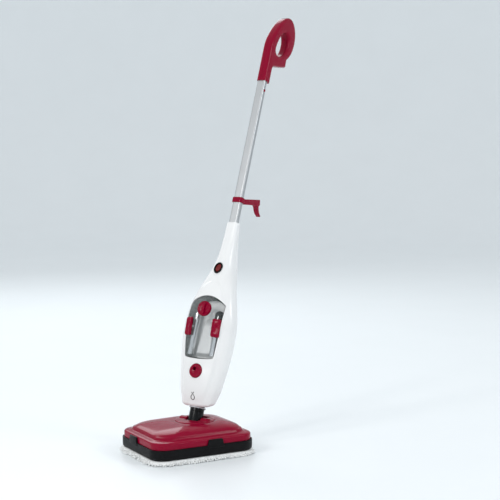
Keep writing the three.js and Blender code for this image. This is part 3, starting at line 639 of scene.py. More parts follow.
def curve_pairs(anchors, steps):
    return [(point.x, point.y) for point in curve_points([(a, b, 0) for a, b in anchors], steps)]


def make_head_cover():
    rings = [head_ring(point.x, point.y, point.z) for point in curve_points(COVER_FLANGE, 3)]
    for share, height in curve_pairs(DOME, 4):
        rings.append(head_ring(DOME_FOOT, height, DOME_CORNER, max(share, 0.0)))
    lip = [(TURRET_HOLE - 0.1, COVER_TOP - 0.5), (TURRET_HOLE, COVER_TOP - DOME_WALL)]
    for reach, height in lip:
        rings.append(head_ring(DOME_FOOT, height, DOME_CORNER, 1.0, reach))
    for share, height in reversed(curve_pairs(DOME, 4)[:-1]):
        rings.append(head_ring(DOME_FOOT + COVER_WALL, height - DOME_WALL, DOME_CORNER - 2,
                               max(share, 0.0)))
    for point in reversed(curve_points(COVER_FLANGE, 3)):
        rings.append(head_ring(point.x + COVER_WALL, point.y - 2.0 * (point.y > 50), point.z - 2))
    rings.append(rings[0])
    cover = skinned("dome_cover", rings, HEAD, close_ends=False)
    weld_points(cover)
    return hold(cover, "head", "crimson_plastic", "head_cover")


# The base frame's profile, outside first: inset from the head's edge, and height
BAND = [(3.4, FRAME_FOOT), (1.4, 14.2), (0.5, 17), (0.1, 20), (0, 24), (0, 36.4), (0.3, 37.3),
        (1.1, FRAME_TOP), (2.5, FRAME_TOP), (3.0, 37.2), (3.1, 21.4), (3.6, 21), (30, 21),
        (31.6, 20.4), (32, 18.6), (31.4, 17.9), (9, 17.8), (8.2, 17.2), (8, 13), (7.4, FRAME_FOOT)]
CLIP_FOOT_HALF = 22
CLIP_HEAD_HALF = 18.5
SIDE_CLIP_BACK = 22
FRONT_CLIP_OFFSET = -18
CLIP_PROUD = 1.3
CLIP_ROOT = 3.2


def clip_tab(turns):
    """One tab of the base frame that reaches up over the cover's edge, on one of its four sides."""
    reach = HEAD_HALF_WIDTH if turns % 2 == 0 else HEAD_HALF_LENGTH
    # The outline is across and up; its thickness runs outwards
    right = [(CLIP_FOOT_HALF + 3, FRAME_TOP - 6), (CLIP_FOOT_HALF, FRAME_TOP),
             (CLIP_HEAD_HALF + 0.6, CLIP_TOP - 2.5), (CLIP_HEAD_HALF - 1.6, CLIP_TOP)]
    left = [(-across, up) for across, up in reversed(right)]
    outline = left[-1:] + right + left[:-1]
    inner, outer = reach - CLIP_ROOT, reach + CLIP_PROUD
    spin = Matrix.Rotation(math.radians(90 * turns), 4, "Z")
    along = (SIDE_CLIP_BACK, -FRONT_CLIP_OFFSET, -SIDE_CLIP_BACK, FRONT_CLIP_OFFSET)[turns]
    place = HEAD @ spin @ at((inner + outer) / 2 * MM, along * MM, 0) @ SIDE_ON
    return slab_between("tab", [outline], outer - inner, 1.2, place, 3)


def make_base_frame():
    frame_band = skinned("black_band", [head_ring(inset, height, max(HEAD_CORNER - inset, 14))
                                        for inset, height in BAND + BAND[:1]], HEAD, close_ends=False)
    weld_points(frame_band)
    weld_on(frame_band, *[clip_tab(turns) for turns in range(4)])
    return hold(frame_band, "head", "black_plastic", "base_frame")


PAD_TOP = 11.7
# Inset from the head's edge, height and number of tufts
TUFT_ROWS = [(2, 1.5, 190), (-0.5, 5.0, 210), (1.5, 8.0, 190)]
TUFT_SIDES = 7
TUFT_STEPS = 6
TUFT_TURNS = [2 * math.pi * side / TUFT_SIDES for side in range(TUFT_SIDES)]


def make_pad():
    """A microfibre pad: a soft crowned slab with looped yarn tufts standing out of its edge."""
    profile = [(16, 0.2), (6, 0.0), (0.5, 1.2), (-1.6, 4.0), (-1.4, 7.5), (1.5, 10.6),
               (6, PAD_TOP), (16, PAD_TOP)]
    rings = [head_ring(inset, height, 40 - inset * 0.5) for inset, height in curve_pairs(profile, 3)]
    pad = skinned("pad_core", rings, HEAD)
    weld_points(pad)
    luck = random.Random(11)
    for vertex in pad.data.vertices:
        swell = noise.noise(vertex.co * 90) * 0.9 * MM
        away = Vector((vertex.co.x, vertex.co.y, 0)).normalized()
        vertex.co += away * swell
    for index, (inset, height, count) in enumerate(TUFT_ROWS):
        add_tufts(pad, inset, height, count, luck)
    return hold(pad, "head", "microfibre", "cleaning_pad", angle=80)


def tuft_thickness(share):
    """A tuft's width from its root at 0 to its rounded tip at 1."""
    return 1.0 if share < 0.7 else math.sqrt(max(1 - ((share - 0.7) / 0.3) ** 2, 0.02))


def add_tufts(pad, inset, height, count, luck):
    """Short bent fingers of yarn around the pad's edge, in one row."""
    shape = bmesh.new()
    shape.from_mesh(pad.data)
    for number in range(count):
        angle = 2 * math.pi * (number + luck.uniform(-0.35, 0.35)) / count
        root = headed_away(angle, inset + 3, HEAD_CORNER)
        root = Vector((root.x, root.y, height))
        away = Vector((root.x, root.y, 0)).normalized()
        away = (away + 0.5 * Vector((luck.uniform(-1, 1), luck.uniform(-1, 1), 0))).normalized()
        length = luck.uniform(9, 14)
        radius = luck.uniform(1.5, 2.3)
        lift = luck.uniform(-0.25, 0.45)
        rings = []
        for step in range(TUFT_STEPS + 1):
            share = step / TUFT_STEPS
            centre = root + away * length * share
            centre.z = max(height + lift * length * share - 4.0 * share * share, radius + 0.1)
            width = radius * tuft_thickness(share)
            side = away.cross(UP).normalized()
            rings.append([(centre + side * width * math.cos(turn) + UP * width * math.sin(turn)) * MM
                          for turn in TUFT_TURNS])
        grid = [[shape.verts.new(point) for point in ring] for ring in rings]
        for low, high in zip(grid, grid[1:]):
            for k in range(TUFT_SIDES):
                after = (k + 1) % TUFT_SIDES
                shape.faces.new((low[k], high[k], high[after], low[after]))
        shape.faces.new(grid[0])
        shape.faces.new(grid[-1][::-1])
    bmesh.ops.recalc_face_normals(shape, faces=shape.faces)
    shape.to_mesh(pad.data)
    shape.free()


# ---- Turret and neck -----------------------------------------------------------------------------

BOSS_RADIUS = 11
BOSS_START = 20.6
SLOT_HALF = 20.3
NECK_RADIUS = 18
NECK_BORE = 9
NECK_FOOT = -13
NECK_TOP = 58


def make_turret():
    # Heights are from the tilt pins
    profile = [(0, 2.5), (44.6, 2.5), (44.6, -11), (TURRET_RADIUS, -11), (TURRET_RADIUS, 3.6),
               (TURRET_RADIUS - 0.35, 4.8), (TURRET_RADIUS - 1.3, 5.6), (TURRET_RADIUS - 3, 6.0)]
    profile += [(TURRET_RADIUS * share, 6.0 + 0.5 * (1 - share * share))
                for share in (0.85, 0.7, 0.5, 0.3, 0.12, 0)]
    dish = turned("turret_dish", profile, TURRET, 128)
    boss = [(0, 0), (BOSS_RADIUS - 1.2, 0), (BOSS_RADIUS, 1.2), (BOSS_RADIUS, 20.2),
            (BOSS_RADIUS - 0.7, 21.7), (BOSS_RADIUS - 2.2, 22.4), (0, 22.4)]
    for side in (-1, 1):
        outwards = Matrix.Rotation(side * math.pi / 2, 4, "Y")
        weld_on(dish, turned("boss", boss, TURRET @ at(side * BOSS_START * MM, 0, 0) @ outwards, 64))
    slot = rounded_block("slot", (-SLOT_HALF, -20.5, -14), (SLOT_HALF, 40, 20), 1.5, TURRET)
    carve(dish, slot)
    return hold(dish, "turret", "crimson_plastic", "turret", angle=30)


def make_neck():
    profile = [(NECK_BORE, NECK_FOOT), (12.5, NECK_FOOT)] + arc(0, 0, NECK_RADIUS, -46, 0, 8)
    profile += [(NECK_RADIUS, 24), (NECK_RADIUS - 0.5, 24.4), (NECK_RADIUS - 0.5, 25.4),
                (NECK_RADIUS, 25.8), (NECK_RADIUS, NECK_TOP), (NECK_BORE, NECK_TOP),
                (NECK_BORE, NECK_FOOT)]
    tube = turned("neck_sleeve", profile, NECK, 96)
    carve(tube, drill(4.3, -30, 30, NECK @ SIDEWAYS))
    hold(tube, "body", "black_plastic", "neck_tube", material=GLOSS_BLACK)
    ring = [(18.3, 32.6), (20.2, 32.4), (20.8, 33.0), (20.8, 35.1), (20.2, 35.7), (18.3, 35.5),
            (18.3, 32.6)]
    collar = turned("neck_ring", ring, NECK, 96)
    return hold(collar, "body", "grey_plastic", "neck_collar")


# ---- Casing --------------------------------------------------------------------------------------

# Height, half width, middle's distance back, half depth and squareness at each station
CASING_STATIONS = [
    (36, 36, 4, 21.5, 2.4), (38.2, 41.5, 4, 23.3, 2.5), (44, 45.6, 4, 25.2, 2.5), (56, 49, 3, 28, 2.4),
    (80, 56.5, 1, 31, 2.4), (111, 62.5, -1, 32, 2.4), (132, 66.5, -2, 32, 2.4), (158, 70, -4, 32.5, 2.5),
    (184, 73, -6, 34, 2.5), (223, 74, -8.5, 36, 2.5), (257, 71.5, -10.5, 36.5, 2.5),
    (288, 65, -12, 35.5, 2.5), (314, 58, -11.5, 33, 2.4), (340, 49.5, -8, 32, 2.4),
    (371, 38, -1, 31.5, 2.4), (392, 30.5, 3.5, 31, 2.5), (410, 26, 4.5, 27.5, 2.6),
    (431, 22, 5, 23, 2.9), (470, 19, 2.5, 15, 3.3), (517.4, 16, 0, 10.6, 4),
]
CASING_FOOT = [(36, 18.4, 4, 18.4, 2), (35.7, 22, 4, 19.5, 2.1), (35.5, 29, 4, 20.5, 2.3)]
CASING_MOUTH = [(518.6, 15.6, 0, 10.2, 4), (519, 14.6, 0, 9.2, 4), (518.4, 12.8, 0, 7.8, 4.5)]
CASING_LEVELS = 150
# The foot is cut away towards the back, and the cut fades out at a height
FOOT_SLOPE = 0.38
FOOT_FRONT = -10
FOOT_FADE = 76
PARTING = 5
SEAM = 0.15
WALL = 2.4
# The raised front panel's half width at each height
PANEL = [(34, 20), (44, 28), (60, 35), (100, 44), (150, 51), (200, 55.5), (245, 56.5), (285, 52.5),
         (312, 44), (332, 33), (346, 20), (353, 9), (355.5, 0.5)]
PANEL_RISE = 3.0
PANEL_EDGE = 4.5


def panel_lift(x, z):
    """How far the front panel stands out of the casing at a place seen from the front."""
    if z <= PANEL[0][0] or z >= PANEL[-1][0]:
        return 0.0
    half = table_at(PANEL, z)[0]
    slope = table_at(PANEL, min(z + 1, PANEL[-1][0]))[0] - half
    inside = (half - abs(x)) / math.sqrt(1 + slope * slope)
    fade = smooth_step((z - 40) / 30)
    return PANEL_RISE * smooth_step(inside / PANEL_EDGE) * fade


def foot_lift(y, z):
    fade = max(0.0, (FOOT_FADE - z) / (FOOT_FADE - CASING_STATIONS[0][0]))
    return FOOT_SLOPE * max(0.0, y - FOOT_FRONT) * min(fade, 1.0)


def casing_front(x, z, grow=0.0):
    """The casing's front face, as a distance back, at a place seen from the front."""
    half_width, middle, half_depth, squareness = table_at(CASING_STATIONS, z)
    share = min(abs(x) / (half_width + grow), 0.999)
    reach = (half_depth + grow) * (1 - share ** squareness) ** (1 / squareness)
    return middle - reach - panel_lift(x, z)


def casing_arc(station, limit, front, grow, steps=72):
    """The part of a casing ring in front of a plane, or behind it, from side to side."""
    height, half_width, middle, half_depth, squareness = station
    half_width += grow
    half_depth += grow
    share = min(max((limit - middle) / half_depth, -0.995), 0.995)
    start = math.asin(math.copysign(abs(share) ** (squareness / 2), share))
    sweep = (-math.pi - 2 * start) if front else (math.pi - 2 * start)
    points = []
    for step in range(steps + 1):
        angle = start + sweep * step / steps
        cosine, sine = math.cos(angle), math.sin(angle)
        x = half_width * math.copysign(abs(cosine) ** (2 / squareness), cosine)
        y = middle + half_depth * math.copysign(abs(sine) ** (2 / squareness), sine)
        if step in (0, steps):
            y = limit
        elif front and sine < 0:
            y -= panel_lift(x, height) * min(1.0, -2 * sine)
        points.append((x, y, height + foot_lift(y, height)))
    return points


def casing_levels():
    low, high = CASING_STATIONS[0][0], CASING_STATIONS[-1][0]
    heights = [low + (high - low) * level / CASING_LEVELS for level in range(CASING_LEVELS + 1)]
    body = [(height, *table_at(CASING_STATIONS, height)) for height in heights]
    return CASING_FOOT + body + CASING_MOUTH


def make_half_casing(name, front):
    """One casing shell: its outer skin, its inner skin a wall inside it, and the edges between."""
    limit = PARTING - SEAM if front else PARTING + SEAM
    outer = [casing_arc(station, limit, front, 0) for station in casing_levels()]
    inner = []
    for height, half_width, middle, half_depth, squareness in casing_levels():
        thin = WALL if half_width > 19 else 1.2
        lifted = min(max(height, CASING_STATIONS[0][0] + WALL), CASING_MOUTH[0][0] - 1)
        tight = (lifted, half_width, middle, half_depth, squareness)
        inner.append(casing_arc(tight, limit, front, -thin))
    count = len(outer[0])
    levels = len(outer)
    vertices = [point for ring in outer for point in ring] + [point for ring in inner for point in ring]
    shift = levels * count
    faces = []
    for level in range(levels - 1):
        for step in range(count - 1):
            a = level * count + step
            faces.append((a, a + 1, a + count + 1, a + count))
            faces.append((shift + a, shift + a + count, shift + a + count + 1, shift + a + 1))
        for a in (level * count, level * count + count - 1):
            faces.append((a, a + count, shift + a + count, shift + a))
    for level in (0, levels - 1):
        for step in range(count - 1):
            a = level * count + step
            faces.append((a, a + 1, shift + a + 1, shift + a))
    shell = new_object(name, vertices, faces, UPPER)
    faces_out(shell)
    return shell


TANK_GAP = 1.0


def tank_outline(grow=0.0):
    """The tank seen from the front, grown or drawn in."""
    side = curve_pairs([(42.6, 159.5), (44.6, 173), (47.5, 200), (50, 232), (51.2, 256),
                        (51.5, 274), (51.5, 287)], 6)
    top = curve_pairs([(49.4, 292.4), (42, 298.2), (30, 304.8), (15, 310.2), (0, 312)], 6)
    half = curve_pairs([(0, 152), (24, 153.2), (38, 155.4)], 6)
    half += quadratic((38, 155.4), (42, 156.3), (42.6, 159.5), 5)[:-1]
    half += side + quadratic((51.5, 287), (51.6, 290.8), (49.4, 292.4), 5)[:-1] + top
    whole = half + [(-x, z) for x, z in reversed(half[1:-1])]
    grown = []
    for index, (x, z) in enumerate(whole):
        before = Vector(whole[index - 1])
        after = Vector(whole[(index + 1) % len(whole)])
        along = (after - before).normalized()
        grown.append((x + along.y * grow, z - along.x * grow))
    return grown


SWITCH_HEIGHT = 390
SWITCH_FACE = -28
SWITCH_SLOPE = -14.6
SWITCH = (UPPER @ at(0, SWITCH_FACE * MM, SWITCH_HEIGHT * MM)
          @ Matrix.Rotation(math.radians(SWITCH_SLOPE), 4, "X"))
BUTTON_HEIGHT = 121
BUTTON_RADIUS = 18
BUTTON_GAP = 0.6
BUTTON = UPPER @ at(0, 0, BUTTON_HEIGHT * MM)
GLAND_HEIGHT = 400
GLAND_RADIUS = 5.9
CASING_SCREWS = ((-45, 92), (45, 92), (-60, 250), (60, 250))
SCREW_WELL_RADIUS = 3.5


def oval(half_x, half_z, count=64, x=0, z=0):
    turns = [2 * math.pi * k / count for k in range(count)]
    return [(half_x * math.cos(turn) + x, half_z * math.sin(turn) + z) for turn in turns]


def front_prism(name, outline, near, far, matrix=UPPER):
    """A straight solid from one depth to another, with its outline seen from the front."""
    made = skinned(name, [[(x, depth, z) for x, z in outline] for depth in (near, far)], matrix)
    faces_out(made)
    return made


def make_front_shell():
    shell = make_half_casing("front_casing", True)
    window = front_prism("window", tank_outline(TANK_GAP), 4, -90)
    rim = BUTTON_RADIUS + BUTTON_GAP
    button_hole = front_prism("hole", oval(rim, rim, 96, 0, BUTTON_HEIGHT), -6, -60)
    switch_hole = front_prism("hole", oval(10.2, 14.2), 10, -14, SWITCH)
    carve(shell, window, button_hole, switch_hole)
    return hold(shell, "body", "white_plastic", "front_shell")


def make_rear_shell():
    shell = make_half_casing("rear_casing", False)
    carve(shell, front_prism("hole", oval(GLAND_RADIUS, GLAND_RADIUS, 64, 0, GLAND_HEIGHT), 60, 20))
    for x, z in CASING_SCREWS:
        carve(shell, front_prism("well", oval(SCREW_WELL_RADIUS, SCREW_WELL_RADIUS, 32, x, z), 60, 12))
    return hold(shell, "body", "white_plastic", "rear_shell")


INK_HEIGHT = 0.15


def make_drop_mark():
    """A water drop printed at the casing's foot, with a spark above it."""
    def on_casing(x, z):
        return Vector((x, casing_front(x, z) - INK_HEIGHT, z))

    centre_z, radius = 55.5, 5.4
    drop = [(radius * math.sin(angle), centre_z - radius * math.cos(angle))
            for angle in (math.radians(-140 + 280 * k / 28) for k in range(29))]
    drop = [(0, centre_z + radius * 1.75)] + drop[::-1]
    strokes = [(drop, True), ([(-3.6, 66.8), (-1.4, 65.2)], False),
               ([(3.6, 68.4), (1.2, 66.0)], False)]
    curve = bpy.data.curves.new("drop_mark", "CURVE")
    curve.dimensions = "3D"
    curve.bevel_depth = 0.8 * MM
    curve.bevel_resolution = 2
    curve.use_fill_caps = True
    for stroke, closed in strokes:
        spline = curve.splines.new("POLY")
        spline.points.add(len(stroke) - 1)
        for point, (x, z) in zip(spline.points, stroke):
            point.co = (*(on_casing(x, z) * MM), 1)
        spline.use_cyclic_u = closed
    holder = set_down("drop_outline", curve)
    mark = set_down("drop_mark", mesh_of(holder), UPPER)
    bpy.data.objects.remove(holder)
    return hold(mark, "body", "black_plastic", material=INK)


# ---- Tank, filler and latches --------------------------------------------------------------------

TANK_BACK = -8
TANK_MIDDLE = (0, 232)
TANK_WALL = 2.2
LINING_BACK = -10.6
FILLER_HEIGHT = 277
FILLER = UPPER @ at(0, 0, FILLER_HEIGHT * MM)
CAP_RADIUS = 19
LATCH_HEIGHT = 231
LATCH_PLACE = 41
LATCH_LOW = 2.6
COLUMN_PLACE = 33
COLUMN_DEPTH = -27
COLUMN_BOTTOM = 162
COLUMN_TOP = 275
COLUMN_RADIUS = 8.5
COLUMN_BEND = COLUMN_TOP - COLUMN_RADIUS
ARCH_BOTTOM = 240


def make_tank():
    shell = star_panel("clear_tank", tank_outline(), TANK_MIDDLE,
                       lambda x, z: casing_front(x, z) + 0.3, lambda x, z: TANK_BACK, 2.5, UPPER)
    inside = star_panel("room", tank_outline(-TANK_WALL), TANK_MIDDLE,
                        lambda x, z: casing_front(x, z) + 2.6, lambda x, z: TANK_BACK - TANK_WALL,
                        2.5, UPPER)
    carve(shell, inside)
    neck = [(13, 43), (15.4, 43), (15.4, 51.6), (14.9, 52.2), (13.4, 52.2), (13, 51.8), (13, 43)]
    merge_in(shell, turned("neck", neck, FILLER @ FORWARD, 64))
    return hold(shell, "tank", "clear_plastic", "water_tank")


def make_tank_lining():
    """The bright panel behind the water, with a tapered channel that stands out of it."""
    def channel(x, z):
        half = 11 + (300 - z) * 0.105
        inside = smooth_step((half - abs(x)) / 5)
        rise = smooth_step((z - 160) / 10) * smooth_step((262 - z) / 24)
        return -12 - 9 * inside * rise

    lining = star_panel("tank_lining", tank_outline(-4.6), TANK_MIDDLE, channel,
                        lambda x, z: LINING_BACK, 0.8, UPPER, 26)
    return hold(lining, "tank", "silvered", material=LINING)


def make_columns():
    """Silvered tubes on both sides of the tank, and a black arch over the right one's top, which is painted shade:
    a dark piece that stands in for the shadowed recess above the right latch.
    """
    for word, side in SIDES:
        place = UPPER @ at(side * COLUMN_PLACE * MM, COLUMN_DEPTH * MM, 0)
        profile = [(0, COLUMN_BOTTOM), (COLUMN_RADIUS - 0.6, COLUMN_BOTTOM),
                   (COLUMN_RADIUS, COLUMN_BOTTOM + 1)]
        profile += arc(0, COLUMN_BEND, COLUMN_RADIUS, 0, 90, 8)[:-1] + [(0, COLUMN_TOP)]
        column = turned(f"silvered_column_{word}", profile, place, 64)
        hold(column, "tank", "silvered", f"guide_column_{word}", grain_along_piece=True)
    # The black arch is painted shade: a dark piece put where the recess over the right latch lies in shadow
    place = UPPER @ at(COLUMN_PLACE * MM, COLUMN_DEPTH * MM, 0)
    inner, outer = COLUMN_RADIUS + 0.3, COLUMN_RADIUS + 3.6
    sleeve = [(inner, ARCH_BOTTOM), (outer - 0.5, ARCH_BOTTOM), (outer, ARCH_BOTTOM + 1)]
    sleeve += arc(0, COLUMN_BEND, outer, 0, 90, 8)[:-1]
    sleeve += [(0, COLUMN_BEND + outer), (0, COLUMN_BEND + inner)]
    sleeve += arc(0, COLUMN_BEND, inner, 90, 0, 8)[1:]
    arch = weld_points(turned("painted_shade_arch_right", sleeve + sleeve[:1], place, 64))
    opening = rounded_block("opening", (-3.6, -20, ARCH_BOTTOM - 10), (3.6, 0, COLUMN_BEND), 2.5, place)
    carve(arch, opening)
    hold(arch, "tank", "black_plastic", material=GLOSS_BLACK)


def make_latches():
    for word, side in SIDES:
        middle = side * LATCH_PLACE
        outline = rounded_rectangle(11, 23, 4, middle, LATCH_HEIGHT)
        latch = star_panel(f"tank_latch_{word}", outline, (middle, LATCH_HEIGHT),
                           lambda x, z: latch_face(x, z, side), lambda x, z: casing_front(x, z) - 1.2,
                           2.2, UPPER, 18)
        hold(latch, f"{word}_latch", "crimson_plastic", f"latch_{word}")


def latch_face(x, z, side):
    """A latch's front: a thumb hollow beside a ridge along its inner edge."""
    ridge = side * (LATCH_PLACE - 7)
    proud = 5.0 + 3.0 * (1 - smooth_step(abs(x - ridge) / 4.0))
    from_hollow = math.hypot((x - side * (LATCH_PLACE + 2.5)) / 7.5, (z - LATCH_HEIGHT) / 15)
    hollow = 1.8 * (1 - smooth_step(from_hollow))
    ends = 1 - smooth_step((abs(z - LATCH_HEIGHT) - 17) / 6)
    return casing_front(x, z) - LATCH_LOW - (proud - LATCH_LOW) * (0.55 + 0.45 * ends) + hollow


def rounded_rectangle(half_x, half_y, radius, x=0.0, y=0.0, steps=6):
    outline = []
    for quarter, (sign_x, sign_y) in enumerate(((1, 1), (-1, 1), (-1, -1), (1, -1))):
        for step in range(steps + 1):
            angle = (quarter + step / steps) * math.pi / 2
            outline.append((x + sign_x * (half_x - radius) + radius * math.cos(angle),
                            y + sign_y * (half_y - radius) + radius * math.sin(angle)))
    dense = []
    for index, (a, b) in enumerate(outline):
        c, d = outline[(index + 1) % len(outline)]
        parts = max(1, int(math.hypot(c - a, d - b) / 1.5))
        dense += [(a + (c - a) * k / parts, b + (d - b) * k / parts) for k in range(parts)]
    return dense


def make_filler_cap():
    profile = [(0, 52.6), (15.8, 52.6), (15.8, 49.2), (16.1, 49), (18.7, 49), (CAP_RADIUS, 49.4),
               (CAP_RADIUS, 55.6), (18.6, 56.5), (17.7, 56.9), (16.7, 56.7), (15.9, 56.1),
               (14.6, 55.4), (0, 55.2)]
    cap = turned("cap_with_grip", profile, FILLER @ FORWARD, 96)
    grip = star_panel("grip", rounded_rectangle(3.0, 14.4, 2.8), (0, 0),
                      lambda x, z: -59.4 - 0.3 * math.cos(z / 9), lambda x, z: -53, 1.3, FILLER, 8)
    weld_on(cap, grip)
    return hold(cap, "cap", "crimson_plastic", "filler_cap", angle=30)


def make_release_button():
    profile = [(0, 14.5), (5.5, 14.5), (5.5, 25), (17.6, 25), (BUTTON_RADIUS, 25.4),
               (BUTTON_RADIUS, 37.6), (17.5, 39.0), (16.4, 39.7), (15.2, 39.8), (14.1, 39.3),
               (12.5, 38.2), (9.5, 37.2), (5, 36.5), (0, 36.3)]
    button = turned("steam_release", profile, BUTTON @ FORWARD, 96)
    carve(button, rounded_block("dent", (-8.8, -44, 0.6), (-0.4, -28, 9.0), 1.2, BUTTON))
    return hold(button, "steam_release_button", "crimson_plastic", "release_button", angle=30)


# ---- Switch --------------------------------------------------------------------------------------


# The surround's profile: half width, height out of the casing and half height
SURROUND = [(12, 0.6, 16), (12, 1.6, 16), (11.6, 2.6, 15.6), (10.8, 3.1, 14.8), (9.4, 3.1, 13.4),
            (8.7, 2.6, 12.7), (8.3, 1.2, 12.3), (8.2, -9, 12.2), (9.8, -9, 13.8), (9.8, 0.6, 13.8),
            (12, 0.6, 16)]
ROCKER_PIVOT = 5
ROCKER_REST = -7


def rocker_face(x, z):
    """The rocker's curved front, with a small thumb dent."""
    return -6.7 + 0.9 * math.exp(-((z - 4.5) ** 2 + x * x) / 9) + 0.5 * math.cos(z / 4)


def make_switch():
    rings = [[(x, -depth, z) for x, z in oval(half_x, half_z, 72)]
             for half_x, depth, half_z in SURROUND]
    bezel = weld_points(skinned("switch_surround", rings, SWITCH, close_ends=False))
    hold(bezel, "body", "black_plastic", "switch_bezel", material=GLOSS_BLACK)
    place = SWITCH @ at(0, ROCKER_PIVOT * MM, 0) @ Matrix.Rotation(math.radians(ROCKER_REST), 4, "X")
    rocker = star_panel("red_rocker", oval(7.5, 10.8, 64), (0, 0), rocker_face, lambda x, z: 2.5,
                        1.1, place, 12)
    hold(rocker, "rocker", "lit_red", "switch_rocker")


# ---- Pole and handle -----------------------------------------------------------------------------

POLE_HALF_WIDTH = 12
POLE_HALF_DEPTH = 7
POLE_CORNER = 3.4
POLE_BOTTOM = 442
POLE_TOP = 985
HANDLE_BOTTOM = 915
HANDLE_SCREWS = ((3, 1006), (84, 1052))
HOOK_HEIGHT = 579.5
HOOK_RISE = 17
COLLAR_HEIGHT = 581
SNAP_HEIGHT = 888
SNAP = UPPER @ at(0, 0, SNAP_HEIGHT * MM) @ SIDEWAYS
SNAP_ROOT = 8.3
POLE_WALL = 1.4
POLE_STEPS = 24


def flat_ring(outline, height):
    return [(x, y, height) for x, y in outline]


def make_pole():
    outside = rounded_rectangle(POLE_HALF_WIDTH, POLE_HALF_DEPTH, POLE_CORNER, steps=8)
    inside = inside_like(outside, POLE_WALL)
    heights = [POLE_BOTTOM + (POLE_TOP - POLE_BOTTOM) * step / POLE_STEPS
               for step in range(POLE_STEPS + 1)]
    rings = [flat_ring(outside, height) for height in heights]
    rings += [flat_ring(inside, height) for height in reversed(heights)]
    rings.append(rings[0])
    tube = weld_points(skinned("extruded_pole", rings, UPPER, close_ends=False))
    carve(tube, drill(3.9, 5, 20, SNAP))
    hold(tube, "body", "aluminium", "pole_tube", grain_along_piece=True)
    dome = [(0, 0), (4.4, 0), (4.4, 1.6), (3.6, 1.6), (3.6, 4.2), (3.3, 5.0), (2.5, 5.6),
            (1.2, 5.9), (0, 6.0)]
    snap = turned("spring_button", dome, SNAP @ at(0, 0, SNAP_ROOT * MM), 48)
    hold(snap, "pole_snap_button", "crimson_plastic", "snap_button")


def inside_like(outline, wall):
    """An outline drawn in by a wall, with the same number of points."""
    moved = []
    for index, (x, y) in enumerate(outline):
        before = Vector(outline[index - 1])
        after = Vector(outline[(index + 1) % len(outline)])
        along = (after - before).normalized()
        moved.append((x - along.y * wall, y + along.x * wall))
    return moved


HOOK = (UPPER @ at(0, POLE_HALF_DEPTH * MM, HOOK_HEIGHT * MM)
        @ Matrix.Rotation(math.radians(HOOK_RISE), 4, "X"))


def quadratic(start, bend, end, steps=8):
    return [((1 - t) ** 2 * start[0] + 2 * t * (1 - t) * bend[0] + t * t * end[0],
             (1 - t) ** 2 * start[1] + 2 * t * (1 - t) * bend[1] + t * t * end[1])
            for t in (k / steps for k in range(1, steps + 1))]


def cubic(start, first, second, end, steps=16):
    return [tuple((1 - t) ** 3 * a + 3 * t * (1 - t) ** 2 * b + 3 * t * t * (1 - t) * c + t ** 3 * d
                  for a, b, c, d in zip(start, first, second, end))
            for t in (k / steps for k in range(1, steps + 1))]


def pole_room(low, high):
    """A tool that clears the pole, with a small gap round it."""
    outline = rounded_rectangle(POLE_HALF_WIDTH + 0.3, POLE_HALF_DEPTH + 0.3, POLE_CORNER + 0.3,
                                steps=8)
    return skinned("pole_room", [flat_ring(outline, height) for height in (low, high)], UPPER)


def make_cord_hook():
    band = slab_between("hook_band", [rounded_rectangle(15, 10, 6, steps=8)], 14, 1.6,
                        UPPER @ at(0, 0, COLLAR_HEIGHT * MM))
    hub = turned("hub", [(0, 0), (7.5, 0), (7.5, 11), (7.1, 11.8), (6.3, 12), (0, 12)],
                 HOOK @ Matrix.Rotation(math.radians(-90), 4, "X"), 48)
    weld_on(band, hub)
    carve(band, pole_room(550, 620))
    hold(band, "body", "crimson_plastic", "hook_collar")
    outline = [(0, -7), (52, -8)] + quadratic((52, -8), (60, -8.5), (62, -16))
    outline += quadratic((62, -16), (65, -30), (78.5, -38.5), 10) + [(80.6, -37.8), (81.5, -35.5)]
    outline += quadratic((81.5, -35.5), (72, -27), (72, -14))
    outline += quadratic((72, -14), (72, -8.5), (76.5, -8), 5)
    outline += [(78, -6.6), (78, 5.5), (77.4, 7.0), (76, 7.5), (40, 7.2), (0, 7)]
    arm = slab_between("swing_hook", [outline], 12, 1.4, HOOK @ at(0, 12.3 * MM, 0) @ SIDE_ON)
    hold(arm, "lower_cord_hook", "crimson_plastic", "cord_hook")


def handle_outline():
    """The handle from the side, as distance back and height, from its foot round its loop."""
    outline = [(-10.5, HANDLE_BOTTOM - 14), (17.5, HANDLE_BOTTOM - 14), (17.5, 930), (17.5, 954)]
    outline += quadratic((17.5, 954), (18, 963.5), (25, 967.5))
    outline += [(40, 973.1), (60, 980.3), (76.4, 986.4), (78, 988.4), (77.4, 1004), (77.4, 1008)]
    outline += cubic((77.4, 1008), (94, 1024), (101, 1046), (100.5, 1068))
    outline += cubic((100.5, 1068), (100, 1098), (82, 1124), (60, 1124))
    outline += cubic((60, 1124), (36, 1124), (8, 1080), (-5, 1044))
    outline += quadratic((-5, 1044), (-10.5, 1030), (-10.5, 1012)) + [(-10.5, 980), (-10.5, 950)]
    return outline


def grip_hole():
    outline = cubic((30, 1003), (50, 1001), (66, 1024), (67, 1048))
    outline += cubic((67, 1048), (68, 1066), (58, 1077), (50, 1076))
    outline += cubic((50, 1076), (38, 1074), (22, 1052), (17, 1018))
    outline += quadratic((17, 1018), (16, 1004), (30, 1003))
    return outline[::-1]


